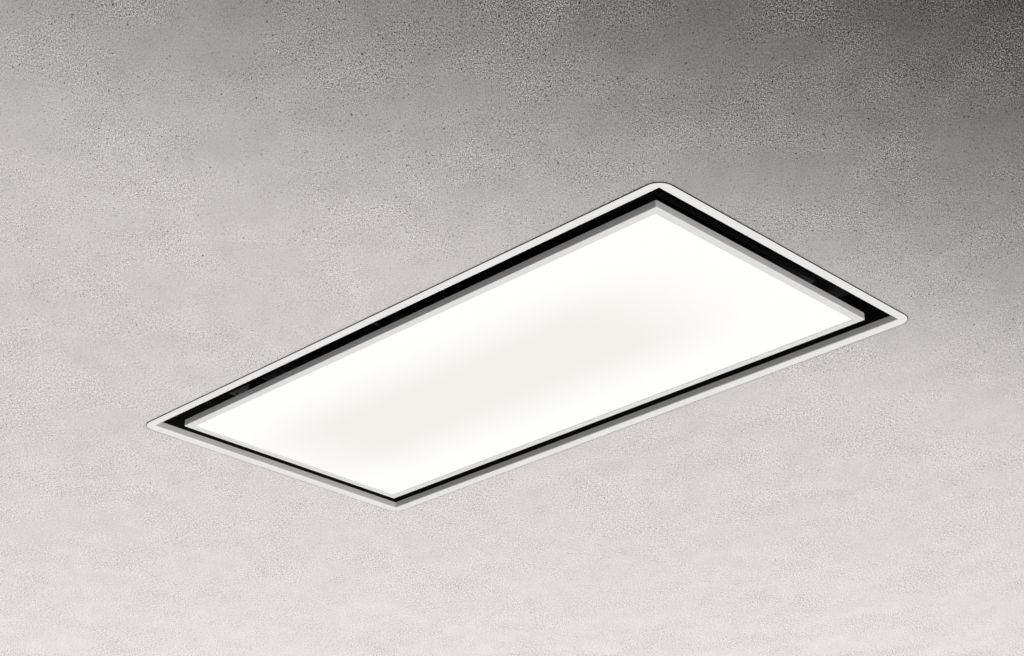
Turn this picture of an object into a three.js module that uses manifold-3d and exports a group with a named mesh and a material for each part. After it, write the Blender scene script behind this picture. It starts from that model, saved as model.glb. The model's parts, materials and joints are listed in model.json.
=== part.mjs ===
// A ceiling range hood: a white trim flange that lies against the ceiling, a lit panel that covers the
// middle of it and draws the air in round its edge, and the casing, filters and fan above the ceiling.
//
// Millimetres, +Z up. X runs along the long side. The origin is the centre of the ceiling plane, on which
// the back of the flange lies, so what shows from the room is below or just above z = 0.

import * as THREE from "three";
import { mergeVertices } from "three/addons/utils/BufferGeometryUtils.js";
import Module from "manifold-3d";

const wasm = await Module();
wasm.setup();

// ---------------------------------------------------------------------------------------------------
// Driving dimensions

const seatGap = 0.3; // left between pieces that rest on each other
const past = 1; // how far a cutting solid goes past the face that it cuts

// Trim
const hoodLength = 1000;
const hoodWidth = 500;
const hoodDepth = 320; // ceiling plane to the top of the fan cover
const flangeWidth = 14;
const flangeCorner = 20;
const trimSheet = 1.2;
const trimBend = 2; // outer radius of the fold between flange and upstand
const upstandHeight = 10;

// Liner, casing and filter carrier
const linerSheet = 1.2;
const linerHeight = 53;
const casingSheet = 1;
const casingLift = 2.3; // lower edge of the casing above the ceiling plane, clear of the ceiling board
const plenumDepth = 121; // ceiling plane to the top of the plenum
const carrierSheet = 1.2;

// Light panel
const suctionGap = 30; // all round the panel
const panelWall = 2;
const panelBorder = 11;
const panelHeight = 10;
const borderSheet = 2;
const diffuserLip = 7; // hidden rim of the diffuser, above the border
const diffuserLipSheet = 2;
const guideThickness = 3;
const reflectorSheet = 0.5;
const backSheet = 1.2;
const stripThickness = 2.4;
const stripEndGap = 12;
const stiffenerWidth = 24;
const stiffenerHeight = 7;
const stiffenerInset = 70;

// Panel hinges, magnetic catches and lamp contact
const hingeInset = 6; // hinge axis inside the panel's edge
const hingeClearance = 4.2; // left to the liner as the panel's corner swings past it
const hingeEndInset = 156; // middle of a hinge to the panel's end
const hingePin = 6;
const hingePinHead = 1; // that stands out of the ears
const hingeRunning = 0.5;
const hingeEye = 14;
const hingeArmSheet = 3;
const hingeArmReach = 38;
const hingeFootWidth = 36;
const hingeFootSheet = 1.5;
const hingeEarSheet = 2.5;
const hingeBaseSheet = 2;
const hingeBaseWidth = 44;
const hingeBaseHeight = 14;
const catchEndInset = 156;
const catchInset = 16;
const catchPlateLength = 36;
const catchPlateWidth = 22;
const catchPlateSheet = 1.5;
const magnetLength = 30;
const magnetWidth = 18;
const magnetHeight = 11;
const bracketSheet = 2;
const bracketWidth = 24;
const bracketRise = 34;
const contactLength = 24;
const contactWidth = 16;
const contactPadMargin = 2; // of the pad on the panel round the block
const contactBracketInset = 2; // of the bracket from each end of the block

// Grease filters and their latches
const filterLength = 400;
const filterWidth = 320;
const filterThickness = 9;
const filterSpacing = 30;
const filterRim = 16;
const filterWall = 2;
const filterLipSheet = 1;
const carrierRim = 12; // filter overlap on the carrier, all round
const railLip = 6;
const railEndGap = 20;
const railSheet = 1.2;
const latchLength = 32;
const latchWidth = 40;
const latchSheet = 2.5;
const latchReach = 5; // of the tongue past the filter's edge
const latchTravel = 5;
const latchHandleWidth = 28;
const latchHandleSheet = 3;
const latchHandleDrop = 10;
const latchHandleInset = 20;
const latchGuideSheet = 2;
const latchGuideLip = 3;
const latchGuideInset = 1; // from the edges of the filter's rim
const latchEscape = 1.5; // between tongue and keeper when the latch is drawn back
const keeperSideGap = 10;
const keeperClearance = 1;
const keeperFlange = 12;

// Fan
const coverLength = 460;
const coverWidth = 400;
const coverFlange = 12;
const voluteHeight = 168;
const voluteWall = 2.5;
const voluteThroat = 127; // scroll radius at the tongue
const voluteReach = 185; // scroll radius where the outlet begins
const impellerRadius = 115;
const impellerEye = 96;
const impellerHeight = 105;
const impellerLift = 22; // above the underside of the volute
const impellerSheet = 2;
const impellerRunning = 2;
const bladeCount = 36;
const bladeThickness = 1.2;
const bladeInset = 1; // from the edges of the shroud ring
const bladeSweep = 38; // degrees that a blade leans over its own depth
const dishRadius = 60;
const dishDepth = 83;
const dishClearance = 3; // of the dish inside the hole in the volute's top
const hubRadius = 10;
const hubHeight = 8;
const hubMotorGap = 2;
const shaftRadius = 4;
const shaftLength = 34; // above the hub
const shaftTail = 2; // below the hub
const shaftEndGap = 4;
const motorRadius = 52;
const motorNeckRadius = 40;
const motorNeckHeight = 22;
const motorClearance = 5;
const shaftClearance = 0.4;
const motorPlateRadius = 76;
const motorPlateSheet = 2;
const plateHoleMargin = 2; // round the motor lead
const grommetCount = 3;
const grommetRadius = 8;
const grommetHeight = 6;
const capacitorRadius = 20;
const capacitorHeight = 70;
const capacitorGap = 8; // to the walls of the cover
const inletFlange = 16;
const inletSheet = 2;
const inletRoll = 8; // radius of the rounded mouth

// Outlet and non-return flaps
const outletDiameter = 150;
const collarLength = 60;
const collarWall = 2;
const collarFlange = 8;
const collarFlangeSheet = 2;
const collarBead = 1;
const collarBeadWidth = 4;
const collarBeadInset = 8; // from the collar's end
const flapSetback = 32; // of the flaps' pin from the fan cover
const flapClearance = 3;
const flapSheet = 1.5;
const flapPin = 3;
const flapBarrel = 8;
const flapBarrelHeight = 20;
const flapBarrelGap = 1; // between two barrels on the pin
const flapEdgeGap = 0.6; // between a flap's plate and the barrels of the other

// Control unit
const controlLength = 160;
const controlWidth = 120;
const controlHeight = 46;
const controlWall = 2.5;
const controlLidSheet = 3;
const lidRimDepth = 3;
const lidRimSheet = 2;
const controlEndGap = 58.5; // to the end of the casing
const boardSheet = 1.6;
const boardLift = 4;
const boardPost = 3;
const boardPostInset = 5;
const boardParts = [
  [[7, 5], [35, 37], 24], // transformer
  [[11, 67], [27, 79], 14], // relay
  [[11, 82], [27, 94], 14], // relay
  [[43, 7], [63, 27], 16], // smoothing capacitor
  [[41, 65], [49, 91], 9], // row of plugs
]; // two corners from the board's near left corner, and the height
const connectorLength = 14;
const connectorWidth = 18;
const connectorInset = 12; // from the right edge of the board
const glandRadius = 12;
const glandThread = 8;
const glandBore = 4.5;
const glandLength = 16;
const glandTaper = 5; // length of the cap's narrowing end
const glandTaperDepth = 3;
const glandShoulder = 1;
const glandNut = 5;
const glandSideGap = 20; // middle of the gland to the side of the box
const driverLength = 60;
const driverHeight = 24;
const driverSideGap = 7.5;
const driverEndGap = 4;
const driverFront = 5; // face that the lamp lead goes into, from the middle of the box
const terminalEndGap = 6; // to the gland's nut
const terminalLength = 40;
const terminalWidth = 18;
const terminalHeight = 16;
const boardLength = 77;
const boardSideGap = 6.5;
const boardEndGap = 5.5;

// Leads and their grommets
const lampLead = 5; // diameter
const motorLead = 6; // diameter
const lampLeadBend = 6;
const motorLeadBend = 8;
const motorLeadOffset = 25; // from the motor's axis, where it leaves the motor
const motorLeadLift = 8; // above the motor plate
const motorLeadInset = 14; // from the wall of the fan cover
const motorEntryLift = 27.6; // above the plenum, where it passes into the control unit
const motorEntryMargin = 1;
const leadRun = 8; // from the liner to the middle of the lamp lead
const leadSide = 18; // from the contact block to the stretch up the liner
const leadSlotMargin = 1.5;
const lampEntryInset = 15; // from the end of the control unit
const lampEntryShift = 8; // from the middle line of the hood
const lampEndLift = 12; // above the floor of the control unit
const grommetFlange = 3;
const grommetWall = 2;
const grommetFlangeSheet = 1.5;

// Hanger brackets
const hangerSheet = 2.5;
const hangerWidth = 40;
const hangerFoot = 22;
const hangerBridge = 36;
const hangerRise = 28;
const hangerHole = 9;
const hangerEndInset = 58.5; // middle of the bracket to the end of the casing
const hangerSideInset = 38.5;

// ---------------------------------------------------------------------------------------------------
// Derived sizes

const openingLength = hoodLength - 2 * flangeWidth;
const openingWidth = hoodWidth - 2 * flangeWidth;
const linerLength = openingLength + 2 * linerSheet;
const linerWidth = openingWidth + 2 * linerSheet;
const faceZ = -trimSheet; // underside of the flange and of the panel
const upstandTop = faceZ + upstandHeight;
const linerBottom = upstandTop + seatGap;
const linerTop = linerBottom + linerHeight;

const casingInnerLength = linerLength + 2 * seatGap;
const casingInnerWidth = linerWidth + 2 * seatGap;
const casingLength = casingInnerLength + 2 * casingSheet;
const casingWidth = casingInnerWidth + 2 * casingSheet;
const roofZ = plenumDepth + seatGap; // what stands on the plenum starts here

const carrierZ = linerTop + seatGap;
const carrierTop = carrierZ + carrierSheet;
const filterTop = carrierZ - seatGap;
const filterBottom = filterTop - filterThickness;
const latchTop = filterBottom - seatGap;
const latchBottom = latchTop - latchSheet;

const panelLength = openingLength - 2 * suctionGap;
const panelWidth = openingWidth - 2 * suctionGap;
const panelTop = faceZ + panelHeight;
const pocketLength = panelLength - 2 * panelWall;
const pocketWidth = panelWidth - 2 * panelWall;
const windowLength = panelLength - 2 * panelBorder;
const windowWidth = panelWidth - 2 * panelBorder;
const lipZ = faceZ + borderSheet + seatGap;
const guideZ = lipZ + diffuserLipSheet + seatGap;
const reflectorZ = guideZ + guideThickness + seatGap;
const backZ = reflectorZ + reflectorSheet + seatGap;
const backTop = backZ + backSheet;

const hingeSpacing = panelLength - 2 * hingeEndInset;
const catchSpacing = panelLength - 2 * catchEndInset;
const hingeY = panelWidth / 2 - hingeInset;
const hingeSwing = suctionGap + hingeInset - hingeClearance;
const hingeZ = faceZ + Math.sqrt(hingeSwing ** 2 - hingeInset ** 2);
const onPanelZ = backTop + seatGap; // what is fixed to the panel's back starts here
const catchY = -panelWidth / 2 + catchInset;
const magnetZ = onPanelZ + catchPlateSheet + seatGap;
const armZ = magnetZ + magnetHeight + seatGap;

const filterPitch = filterLength + filterSpacing;

const voluteTop = roofZ + voluteHeight;
const impellerZ = roofZ + impellerLift;
const impellerTop = impellerZ + impellerHeight;
const dishZ = impellerTop - dishDepth;
const motorZ = dishZ + impellerSheet + motorClearance;
const hubTop = motorZ - hubMotorGap;
const motorPlateZ = voluteTop + grommetHeight + 2 * seatGap;
const motorTop = motorPlateZ - seatGap;
const grommetCircle = (motorRadius + motorPlateRadius) / 2 + 2;
const inletRadius = impellerEye - impellerRunning;

const outletRadius = outletDiameter / 2;
const outletBore = outletRadius - collarWall;
const outletY = voluteReach - outletRadius;
const outletZ = roofZ + voluteHeight / 2;
const coverInnerX = coverLength / 2 - casingSheet;
const collarX = coverLength / 2 + seatGap;
const flapX = coverLength / 2 + flapSetback;

const controlX = -casingLength / 2 + controlEndGap + controlLength / 2;
const leadZ = carrierTop + seatGap + lampLead / 2;

// ---------------------------------------------------------------------------------------------------
// Solids

const fineRound = 48; // sides of the outlet, in which the flaps turn
const round = 36;
const smallRound = 20;
const leadRound = 8;

function solidOf(geometry) {
  const bare = geometry.clone();
  bare.deleteAttribute("normal");
  bare.deleteAttribute("uv");
  const merged = mergeVertices(bare, 1e-4);
  const mesh = new wasm.Mesh({
    numProp: 3,
    vertProperties: merged.attributes.position.array,
    triVerts: merged.index.array,
  });
  return new wasm.Manifold(mesh);
}

function geometryOf(solid) {
  const mesh = solid.getMesh();
  const geometry = new THREE.BufferGeometry();
  geometry.setAttribute("position", new THREE.BufferAttribute(mesh.vertProperties, 3));
  geometry.setIndex(new THREE.BufferAttribute(mesh.triVerts, 1));
  const flat = geometry.toNonIndexed();
  flat.computeVertexNormals();
  return flat;
}

const join = (first, ...rest) => rest.reduce((whole, next) => whole.add(next), first);
const cut = (whole, ...tools) => tools.reduce((left, tool) => left.subtract(tool), whole);

// A box between two corners.
function box([x0, y0, z0], [x1, y1, z1]) {
  const geometry = new THREE.BoxGeometry(x1 - x0, y1 - y0, z1 - z0);
  geometry.translate((x0 + x1) / 2, (y0 + y1) / 2, (z0 + z1) / 2);
  return solidOf(geometry);
}

// A box centred on the Z axis.
const slab = (length, width, z0, z1) =>
  box([-length / 2, -width / 2, z0], [length / 2, width / 2, z1]);

// An upright cylinder.
function post(radius, z0, z1, x = 0, y = 0, sides = smallRound) {
  const geometry = new THREE.CylinderGeometry(radius, radius, z1 - z0, sides);
  geometry.rotateX(Math.PI / 2);
  geometry.translate(x, y, (z0 + z1) / 2);
  return solidOf(geometry);
}

// A cylinder along X.
function bar(radius, x0, x1, y, z, sides = smallRound) {
  const geometry = new THREE.CylinderGeometry(radius, radius, x1 - x0, sides);
  geometry.rotateZ(Math.PI / 2);
  geometry.translate((x0 + x1) / 2, y, z);
  return solidOf(geometry);
}

const shapeOf = (points) => new THREE.Shape(points.map(([u, v]) => new THREE.Vector2(u, v)));

const extrusion = (shape, depth) =>
  new THREE.ExtrudeGeometry(shape, { depth, bevelEnabled: false, curveSegments: 8 });

// An outline in X and Y, pulled up from z0 to z1.
function upright(points, z0, z1) {
  const geometry = extrusion(shapeOf(points), z1 - z0);
  geometry.translate(0, 0, z0);
  return solidOf(geometry);
}

// An outline in Y and Z, pulled along X from x0 to x1.
function alongX(points, x0, x1) {
  const geometry = extrusion(shapeOf(points), x1 - x0);
  const turn = new THREE.Matrix4().makeBasis(
    new THREE.Vector3(0, 1, 0),
    new THREE.Vector3(0, 0, 1),
    new THREE.Vector3(1, 0, 0),
  );
  geometry.applyMatrix4(turn);
  geometry.translate(x0, 0, 0);
  return solidOf(geometry);
}

// An outline in X and Z, pulled along Y from y0 to y1.
function alongY(points, y0, y1) {
  const geometry = extrusion(shapeOf(points), y1 - y0);
  const turn = new THREE.Matrix4().makeBasis(
    new THREE.Vector3(1, 0, 0),
    new THREE.Vector3(0, 0, 1),
    new THREE.Vector3(0, -1, 0),
  );
  geometry.applyMatrix4(turn);
  geometry.translate(0, y1, 0);
  return solidOf(geometry);
}

// A profile of radius and height, turned about the Z axis. It closes on itself.
function turned(profile, sides = round) {
  const points = profile.map(([r, z]) => new THREE.Vector2(r, z));
  points.push(points[0].clone());
  const geometry = new THREE.LatheGeometry(points, sides);
  geometry.rotateX(Math.PI / 2);
  return solidOf(geometry);
}

// A section of outward offset and height, carried round a rectangle with mitred corners.
function mitredRing(section, length, width) {
  const corners = [[1, 1], [-1, 1], [-1, -1], [1, -1]];
  const vertices = [];
  for (const [offset, z] of section) {
    for (const [sx, sy] of corners) {
      vertices.push(sx * (length / 2 + offset), sy * (width / 2 + offset), z);
    }
  }
  const faces = [];
  const count = section.length;
  for (let i = 0; i < count; i++) {
    for (let c = 0; c < 4; c++) {
      const a = 4 * i + c;
      const b = 4 * i + ((c + 1) % 4);
      const d = 4 * ((i + 1) % count) + c;
      const e = 4 * ((i + 1) % count) + ((c + 1) % 4);
      faces.push(a, b, e, a, e, d);
    }
  }
  const geometry = new THREE.BufferGeometry();
  geometry.setAttribute("position", new THREE.Float32BufferAttribute(vertices, 3));
  geometry.setIndex(faces);
  return solidOf(geometry);
}

// A rectangle with rounded corners, pulled up from z0 to z1.
function roundedSlab(length, width, radius, z0, z1) {
  const x = length / 2 - radius;
  const y = width / 2 - radius;
  const shape = new THREE.Shape();
  shape.absarc(x, y, radius, 0, Math.PI / 2);
  shape.absarc(-x, y, radius, Math.PI / 2, Math.PI);
  shape.absarc(-x, -y, radius, Math.PI, Math.PI * 1.5);
  shape.absarc(x, -y, radius, Math.PI * 1.5, Math.PI * 2);
  const geometry = extrusion(shape, z1 - z0);
  geometry.translate(0, 0, z0);
  return solidOf(geometry);
}

// A lead along straight stretches with rounded corners.
function lead(points, diameter, bend) {
  const stops = points.map((p) => new THREE.Vector3(...p));
  const path = new THREE.CurvePath();
  let from = stops[0];
  for (let i = 1; i < stops.length - 1; i++) {
    const back = stops[i - 1].clone().sub(stops[i]).setLength(bend);
    const on = stops[i + 1].clone().sub(stops[i]).setLength(bend);
    const start = stops[i].clone().add(back);
    const end = stops[i].clone().add(on);
    path.add(new THREE.LineCurve3(from, start));
    path.add(new THREE.QuadraticBezierCurve3(start, stops[i], end));
    from = end;
  }
  path.add(new THREE.LineCurve3(from, stops[stops.length - 1]));
  const ring = Array.from({ length: leadRound }, (_, i) => {
    const turn = (2 * Math.PI * i) / leadRound;
    return [(diameter / 2) * Math.cos(turn), (diameter / 2) * Math.sin(turn)];
  });
  const mostSteps = 80;
  const wanted = Math.round(path.getLength() / (2.5 * diameter)) + 4 * stops.length;
  const steps = Math.min(mostSteps, wanted);
  return solidOf(
    new THREE.ExtrudeGeometry(shapeOf(ring), { steps, bevelEnabled: false, extrudePath: path }),
  );
}

// ---------------------------------------------------------------------------------------------------
// Materials

const paint = (color, roughness, metalness = 0) =>
  new THREE.MeshStandardMaterial({ color, roughness, metalness });

const finishes = {
  whitePaint: () => paint(0xf1f0ec, 0.38),
  blackPaint: () => paint(0x0c0c0d, 0.55),
  zinc: () => paint(0xa9adb0, 0.42, 0.9),
  steel: () => paint(0x8c8f92, 0.35, 0.95),
  aluminium: () => paint(0xc4c7c9, 0.4, 0.9),
  opal: () => {
    const material = paint(0xfdfcf8, 0.3);
    material.emissive.set(0xfff8ee);
    return material;
  },
  clear: () => paint(0xe8eef0, 0.08),
  reflector: () => paint(0xf6f6f4, 0.6),
  fanPlastic: () => paint(0x2b2d30, 0.5),
  boxPlastic: () => paint(0x3a3c3f, 0.55),
  palePlastic: () => paint(0xc9cbc8, 0.5),
  rubber: () => paint(0x161616, 0.85),
  magnet: () => paint(0x1b1b1c, 0.5),
  board: () => paint(0x1e5a3a, 0.45),
  leadJacket: () => paint(0x18181a, 0.6),
  motorSteel: () => paint(0x5d6165, 0.4, 0.85),
};

const hood = new THREE.Group();

function add(group, name, solid, finish) {
  const mesh = new THREE.Mesh(geometryOf(solid), finishes[finish]());
  mesh.name = name;
  group.add(mesh);
  return mesh;
}

// ---------------------------------------------------------------------------------------------------
// Trim, liner and casing

function trimFrame() {
  const bendSteps = 5;
  const fold = Array.from({ length: bendSteps + 1 }, (_, i) => {
    const turn = Math.PI + (Math.PI / 2) * (i / bendSteps);
    return [trimBend + trimBend * Math.cos(turn), faceZ + trimBend + trimBend * Math.sin(turn)];
  });
  const section = [
    ...fold,
    [flangeWidth, faceZ],
    [flangeWidth, 0],
    [trimSheet, 0],
    [trimSheet, upstandTop],
    [0, upstandTop],
  ];
  const sheet = mitredRing(section, openingLength, openingWidth);
  const outline = roundedSlab(hoodLength, hoodWidth, flangeCorner, faceZ - past, upstandTop + past);
  return sheet.intersect(outline);
}

// The lamp lead climbs the liner beside the contact, crosses the carrier in a slot, and bends over
// towards -X as it leaves the slot.
const leadX = -contactLength / 2 - leadSide;
const leadY = -openingWidth / 2 + leadRun;

function leadSlot(z0, z1) {
  const radius = lampLead / 2 + leadSlotMargin;
  const endX = leadX - lampLeadBend;
  const ends = [leadX, endX].map((x) => post(radius, z0, z1, x, leadY));
  const middle = box([endX, leadY - radius, z0], [leadX, leadY + radius, z1]);
  return join(middle, ...ends);
}

function innerLiner() {
  const outer = slab(linerLength, linerWidth, linerBottom, linerTop);
  const inner = slab(openingLength, openingWidth, linerBottom - past, linerTop + past);
  return cut(outer, inner);
}

// Where the lamp lead passes up through the plenum into the control unit.
const lampEntryX = controlX - controlLength / 2 + lampEntryInset;
const lampEntryY = -lampEntryShift;
const lampEntryHole = (z0, z1) =>
  post(lampLead / 2 + seatGap + grommetWall + seatGap, z0, z1, lampEntryX, lampEntryY);

function plenumCasing() {
  const outer = slab(casingLength, casingWidth, casingLift, plenumDepth);
  const inner = slab(casingInnerLength, casingInnerWidth, casingLift - past, plenumDepth - casingSheet);
  const under = plenumDepth - 2 * casingSheet;
  const inlet = post(inletHole, under, plenumDepth + past, 0, 0, round);
  return cut(outer, inner, inlet, lampEntryHole(under, plenumDepth + past));
}

// The plate over the liner, on whose edges it lies. It holds both filters.
function filterCarrier() {
  const plate = slab(linerLength, linerWidth, carrierZ, carrierTop);
  const windows = [];
  const rails = [];
  for (const side of [-1, 1]) {
    const x = (side * filterPitch) / 2;
    const halfLength = filterLength / 2 - carrierRim;
    const halfWidth = filterWidth / 2 - carrierRim;
    windows.push(
      box([x - halfLength, -halfWidth, carrierZ - past], [x + halfLength, halfWidth, carrierTop + past]),
    );
    rails.push(filterRail(x));
  }
  return cut(join(plate, ...rails), ...windows, leadSlot(carrierZ - past, carrierTop + past));
}

// The rail that the back edge of a filter hangs in.
function filterRail(x) {
  const face = filterWidth / 2 + seatGap;
  const lipTop = filterBottom - seatGap;
  const outline = [
    [face, carrierZ + carrierSheet / 2],
    [face, lipTop],
    [filterWidth / 2 - railLip, lipTop],
    [filterWidth / 2 - railLip, lipTop - railSheet],
    [face + railSheet, lipTop - railSheet],
    [face + railSheet, carrierZ + carrierSheet / 2],
  ];
  const half = filterLength / 2 - railEndGap;
  return alongX(outline, x - half, x + half);
}

// The strip under the carrier that the tongues of both latches lie on. Its lip ends where a tongue has
// let go of it.
function latchKeeper() {
  const top = carrierZ - seatGap;
  const lipTop = latchBottom - seatGap;
  const tongue = -filterWidth / 2 - latchReach;
  const face = tongue - keeperClearance;
  const lipEnd = tongue + latchTravel - latchEscape;
  const outline = [
    [face, top],
    [face - keeperFlange, top],
    [face - keeperFlange, top - railSheet],
    [face - railSheet, top - railSheet],
    [face - railSheet, lipTop - railSheet],
    [lipEnd, lipTop - railSheet],
    [lipEnd, lipTop],
    [face, lipTop],
  ];
  const half = filterPitch / 2 + latchWidth / 2 + keeperSideGap;
  return alongX(outline, -half, half);
}

// The hole that the inlet ring drops into lies well inside its flange.
const inletHole = inletRadius + inletFlange / 2;

function hanger(x, y) {
  const z0 = roofZ;
  const halfBridge = hangerBridge / 2;
  const reach = halfBridge + hangerFoot;
  const top = z0 + hangerRise;
  const outline = [
    [-reach, z0],
    [-halfBridge, z0],
    [-halfBridge, top - hangerSheet],
    [halfBridge, top - hangerSheet],
    [halfBridge, z0],
    [reach, z0],
    [reach, z0 + hangerSheet],
    [halfBridge + hangerSheet, z0 + hangerSheet],
    [halfBridge + hangerSheet, top],
    [-halfBridge - hangerSheet, top],
    [-halfBridge - hangerSheet, z0 + hangerSheet],
    [-reach, z0 + hangerSheet],
  ];
  const strap = alongY(outline, -hangerWidth / 2, hangerWidth / 2);
  const hole = post(hangerHole / 2, top - 2 * hangerSheet, top + past);
  return cut(strap, hole).translate([x, y, 0]);
}

function addCasing() {
  add(hood, "trim_frame", trimFrame(), "whitePaint");
  add(hood, "inner_liner", innerLiner(), "blackPaint");
  add(hood, "plenum_casing", plenumCasing(), "zinc");
  add(hood, "filter_carrier", filterCarrier(), "blackPaint");
  add(hood, "latch_keeper", latchKeeper(), "blackPaint");
  const x = casingLength / 2 - hangerEndInset;
  const y = casingWidth / 2 - hangerSideInset;
  const places = [[x, y], [-x, y], [-x, -y], [x, -y]];
  places.forEach(([px, py], i) => add(hood, `hanger_bracket_${i + 1}`, hanger(px, py), "zinc"));
}

// ---------------------------------------------------------------------------------------------------
// Grease filters, each with a sliding latch under its front edge

function filterFrame() {
  const block = slab(filterLength, filterWidth, filterBottom, filterTop);
  const window = slab(
    filterLength - 2 * filterRim,
    filterWidth - 2 * filterRim,
    filterBottom - past,
    filterTop + past,
  );
  const pocket = slab(
    filterLength - 2 * filterWall,
    filterWidth - 2 * filterWall,
    filterBottom + filterLipSheet,
    filterTop - filterLipSheet,
  );
  return join(cut(block, window, pocket), latchGuide(1), latchGuide(-1));
}

// A hook beside the latch that carries the edge of its plate.
function latchGuide(side) {
  const inner = latchWidth / 2 + seatGap;
  const outer = inner + latchGuideSheet;
  const lipEnd = inner - latchGuideLip;
  const lipTop = latchBottom - seatGap;
  const outline = [
    [outer, filterBottom + filterLipSheet / 2],
    [inner, filterBottom + filterLipSheet / 2],
    [inner, lipTop],
    [lipEnd, lipTop],
    [lipEnd, lipTop - latchGuideSheet],
    [outer, lipTop - latchGuideSheet],
  ].map(([x, z]) => [side * x, z]);
  if (side < 0) outline.reverse();
  const front = -filterWidth / 2;
  return alongY(outline, front + latchGuideInset, front + filterRim - latchGuideInset);
}

function filterMesh() {
  const margin = filterWall + seatGap;
  return slab(
    filterLength - 2 * margin,
    filterWidth - 2 * margin,
    filterBottom + filterLipSheet + seatGap,
    filterTop - filterLipSheet - seatGap,
  );
}

function filterLatch() {
  const front = -filterWidth / 2 - latchReach;
  const halfWidth = latchWidth / 2;
  const plate = box([-halfWidth, front, latchBottom], [halfWidth, front + latchLength, latchTop]);
  const handleY = -filterWidth / 2 + latchHandleInset;
  const handle = box(
    [-latchHandleWidth / 2, handleY, latchBottom - latchHandleDrop],
    [latchHandleWidth / 2, handleY + latchHandleSheet, latchBottom + latchSheet / 2],
  );
  return join(plate, handle);
}

function addFilters() {
  for (const [side, label] of [[-1, "left"], [1, "right"]]) {
    const filter = new THREE.Group();
    filter.position.x = (side * filterPitch) / 2;
    add(filter, `filter_frame_${label}`, filterFrame(), "aluminium");
    add(filter, `filter_mesh_${label}`, filterMesh(), "aluminium");
    add(filter, `filter_latch_${label}`, filterLatch(), "steel");
    hood.add(filter);
  }
}

// ---------------------------------------------------------------------------------------------------
// Light panel

function panelFrame() {
  const block = slab(panelLength, panelWidth, faceZ, panelTop);
  const pocket = slab(pocketLength, pocketWidth, faceZ + borderSheet, panelTop + past);
  const window = slab(windowLength, windowWidth, faceZ - past, panelTop);
  return cut(block, pocket, window);
}

// The diffuser's face fills the window and its rim lies on the border.
function diffuser() {
  const sunk = lipZ + diffuserLipSheet / 2;
  const face = slab(windowLength - 2 * seatGap, windowWidth - 2 * seatGap, faceZ, sunk);
  const rim = slab(
    windowLength + 2 * diffuserLip,
    windowWidth + 2 * diffuserLip,
    lipZ,
    lipZ + diffuserLipSheet,
  );
  return join(face, rim);
}

const guideWidth = pocketWidth - 2 * (stripThickness + 2 * seatGap);

function lightGuide() {
  return slab(pocketLength - 2 * seatGap, guideWidth, guideZ, guideZ + guideThickness);
}

function reflector() {
  return slab(
    pocketLength - 2 * seatGap,
    pocketWidth - 2 * seatGap,
    reflectorZ,
    reflectorZ + reflectorSheet,
  );
}

function lightStrip(side) {
  const inner = guideWidth / 2 + seatGap;
  const half = pocketLength / 2 - stripEndGap;
  const [y0, y1] = [inner, inner + stripThickness].map((y) => side * y).sort((a, b) => a - b);
  return box([-half, y0, guideZ], [half, y1, guideZ + guideThickness]);
}

function panelBack() {
  const plate = slab(
    pocketLength - 2 * seatGap,
    pocketWidth - 2 * seatGap,
    backZ,
    backTop,
  );
  const half = pocketLength / 2 - stiffenerInset;
  const stiffeners = [-1, 1].map((side) => {
    const y = (side * pocketWidth) / 6;
    return box(
      [-half, y - stiffenerWidth / 2, backTop - backSheet / 2],
      [half, y + stiffenerWidth / 2, backTop + stiffenerHeight],
    );
  });
  return join(plate, ...stiffeners);
}

// The arm on the panel: a foot, and an upright eye in the middle of it.
function hingeArm() {
  const footTop = onPanelZ + hingeFootSheet;
  const foot = box(
    [-hingeFootWidth / 2, hingeY - hingeArmReach, onPanelZ],
    [hingeFootWidth / 2, hingeY - hingeInset, footTop],
  );
  const eyeRadius = hingeEye / 2;
  const outline = [
    [hingeY - hingeArmReach, onPanelZ],
    [hingeY - hingeInset, onPanelZ],
    [hingeY + eyeRadius, hingeZ],
    [hingeY, hingeZ + eyeRadius],
  ];
  const half = hingeArmSheet / 2;
  const web = alongX(outline, -half, half);
  const eye = bar(eyeRadius, -half, half, hingeY, hingeZ);
  const bore = bar(hingePin / 2 + seatGap, -half - past, half + past, hingeY, hingeZ);
  return cut(join(foot, web, eye), bore);
}

// The bracket on the liner: a base, two ears that come down from above the panel, and the pin.
function hingeBracket() {
  const wall = openingWidth / 2 - seatGap;
  const baseTop = linerTop;
  const baseZ = baseTop - hingeBaseHeight;
  const base = box(
    [-hingeBaseWidth / 2, wall - hingeBaseSheet, baseZ],
    [hingeBaseWidth / 2, wall, baseTop],
  );
  const eyeRadius = hingeEye / 2;
  const outline = [
    [wall - hingeBaseSheet / 2, baseZ],
    [wall - hingeBaseSheet / 2, baseTop],
    [hingeY - eyeRadius, baseTop],
    [hingeY - eyeRadius, hingeZ],
    [hingeY + eyeRadius, hingeZ],
    [hingeY + eyeRadius, baseZ],
  ];
  const inner = hingeArmSheet / 2 + hingeRunning;
  const outer = inner + hingeEarSheet;
  const ears = [[inner, outer], [-outer, -inner]].flatMap(([x0, x1]) => [
    alongX(outline, x0, x1),
    bar(eyeRadius, x0, x1, hingeY, hingeZ),
  ]);
  const pinEnd = outer + hingePinHead;
  const pin = bar(hingePin / 2, -pinEnd, pinEnd, hingeY, hingeZ);
  return join(base, ...ears, pin);
}

// The angle on the liner that reaches over the panel and carries a magnet or the lamp contact.
function overArm(width) {
  const wall = -openingWidth / 2 + seatGap;
  const end = catchY + magnetWidth / 2;
  const outline = [
    [wall, armZ],
    [end, armZ],
    [end, armZ + bracketSheet],
    [wall + bracketSheet, armZ + bracketSheet],
    [wall + bracketSheet, armZ + bracketRise],
    [wall, armZ + bracketRise],
  ];
  return alongX(outline, -width / 2, width / 2);
}

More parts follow.
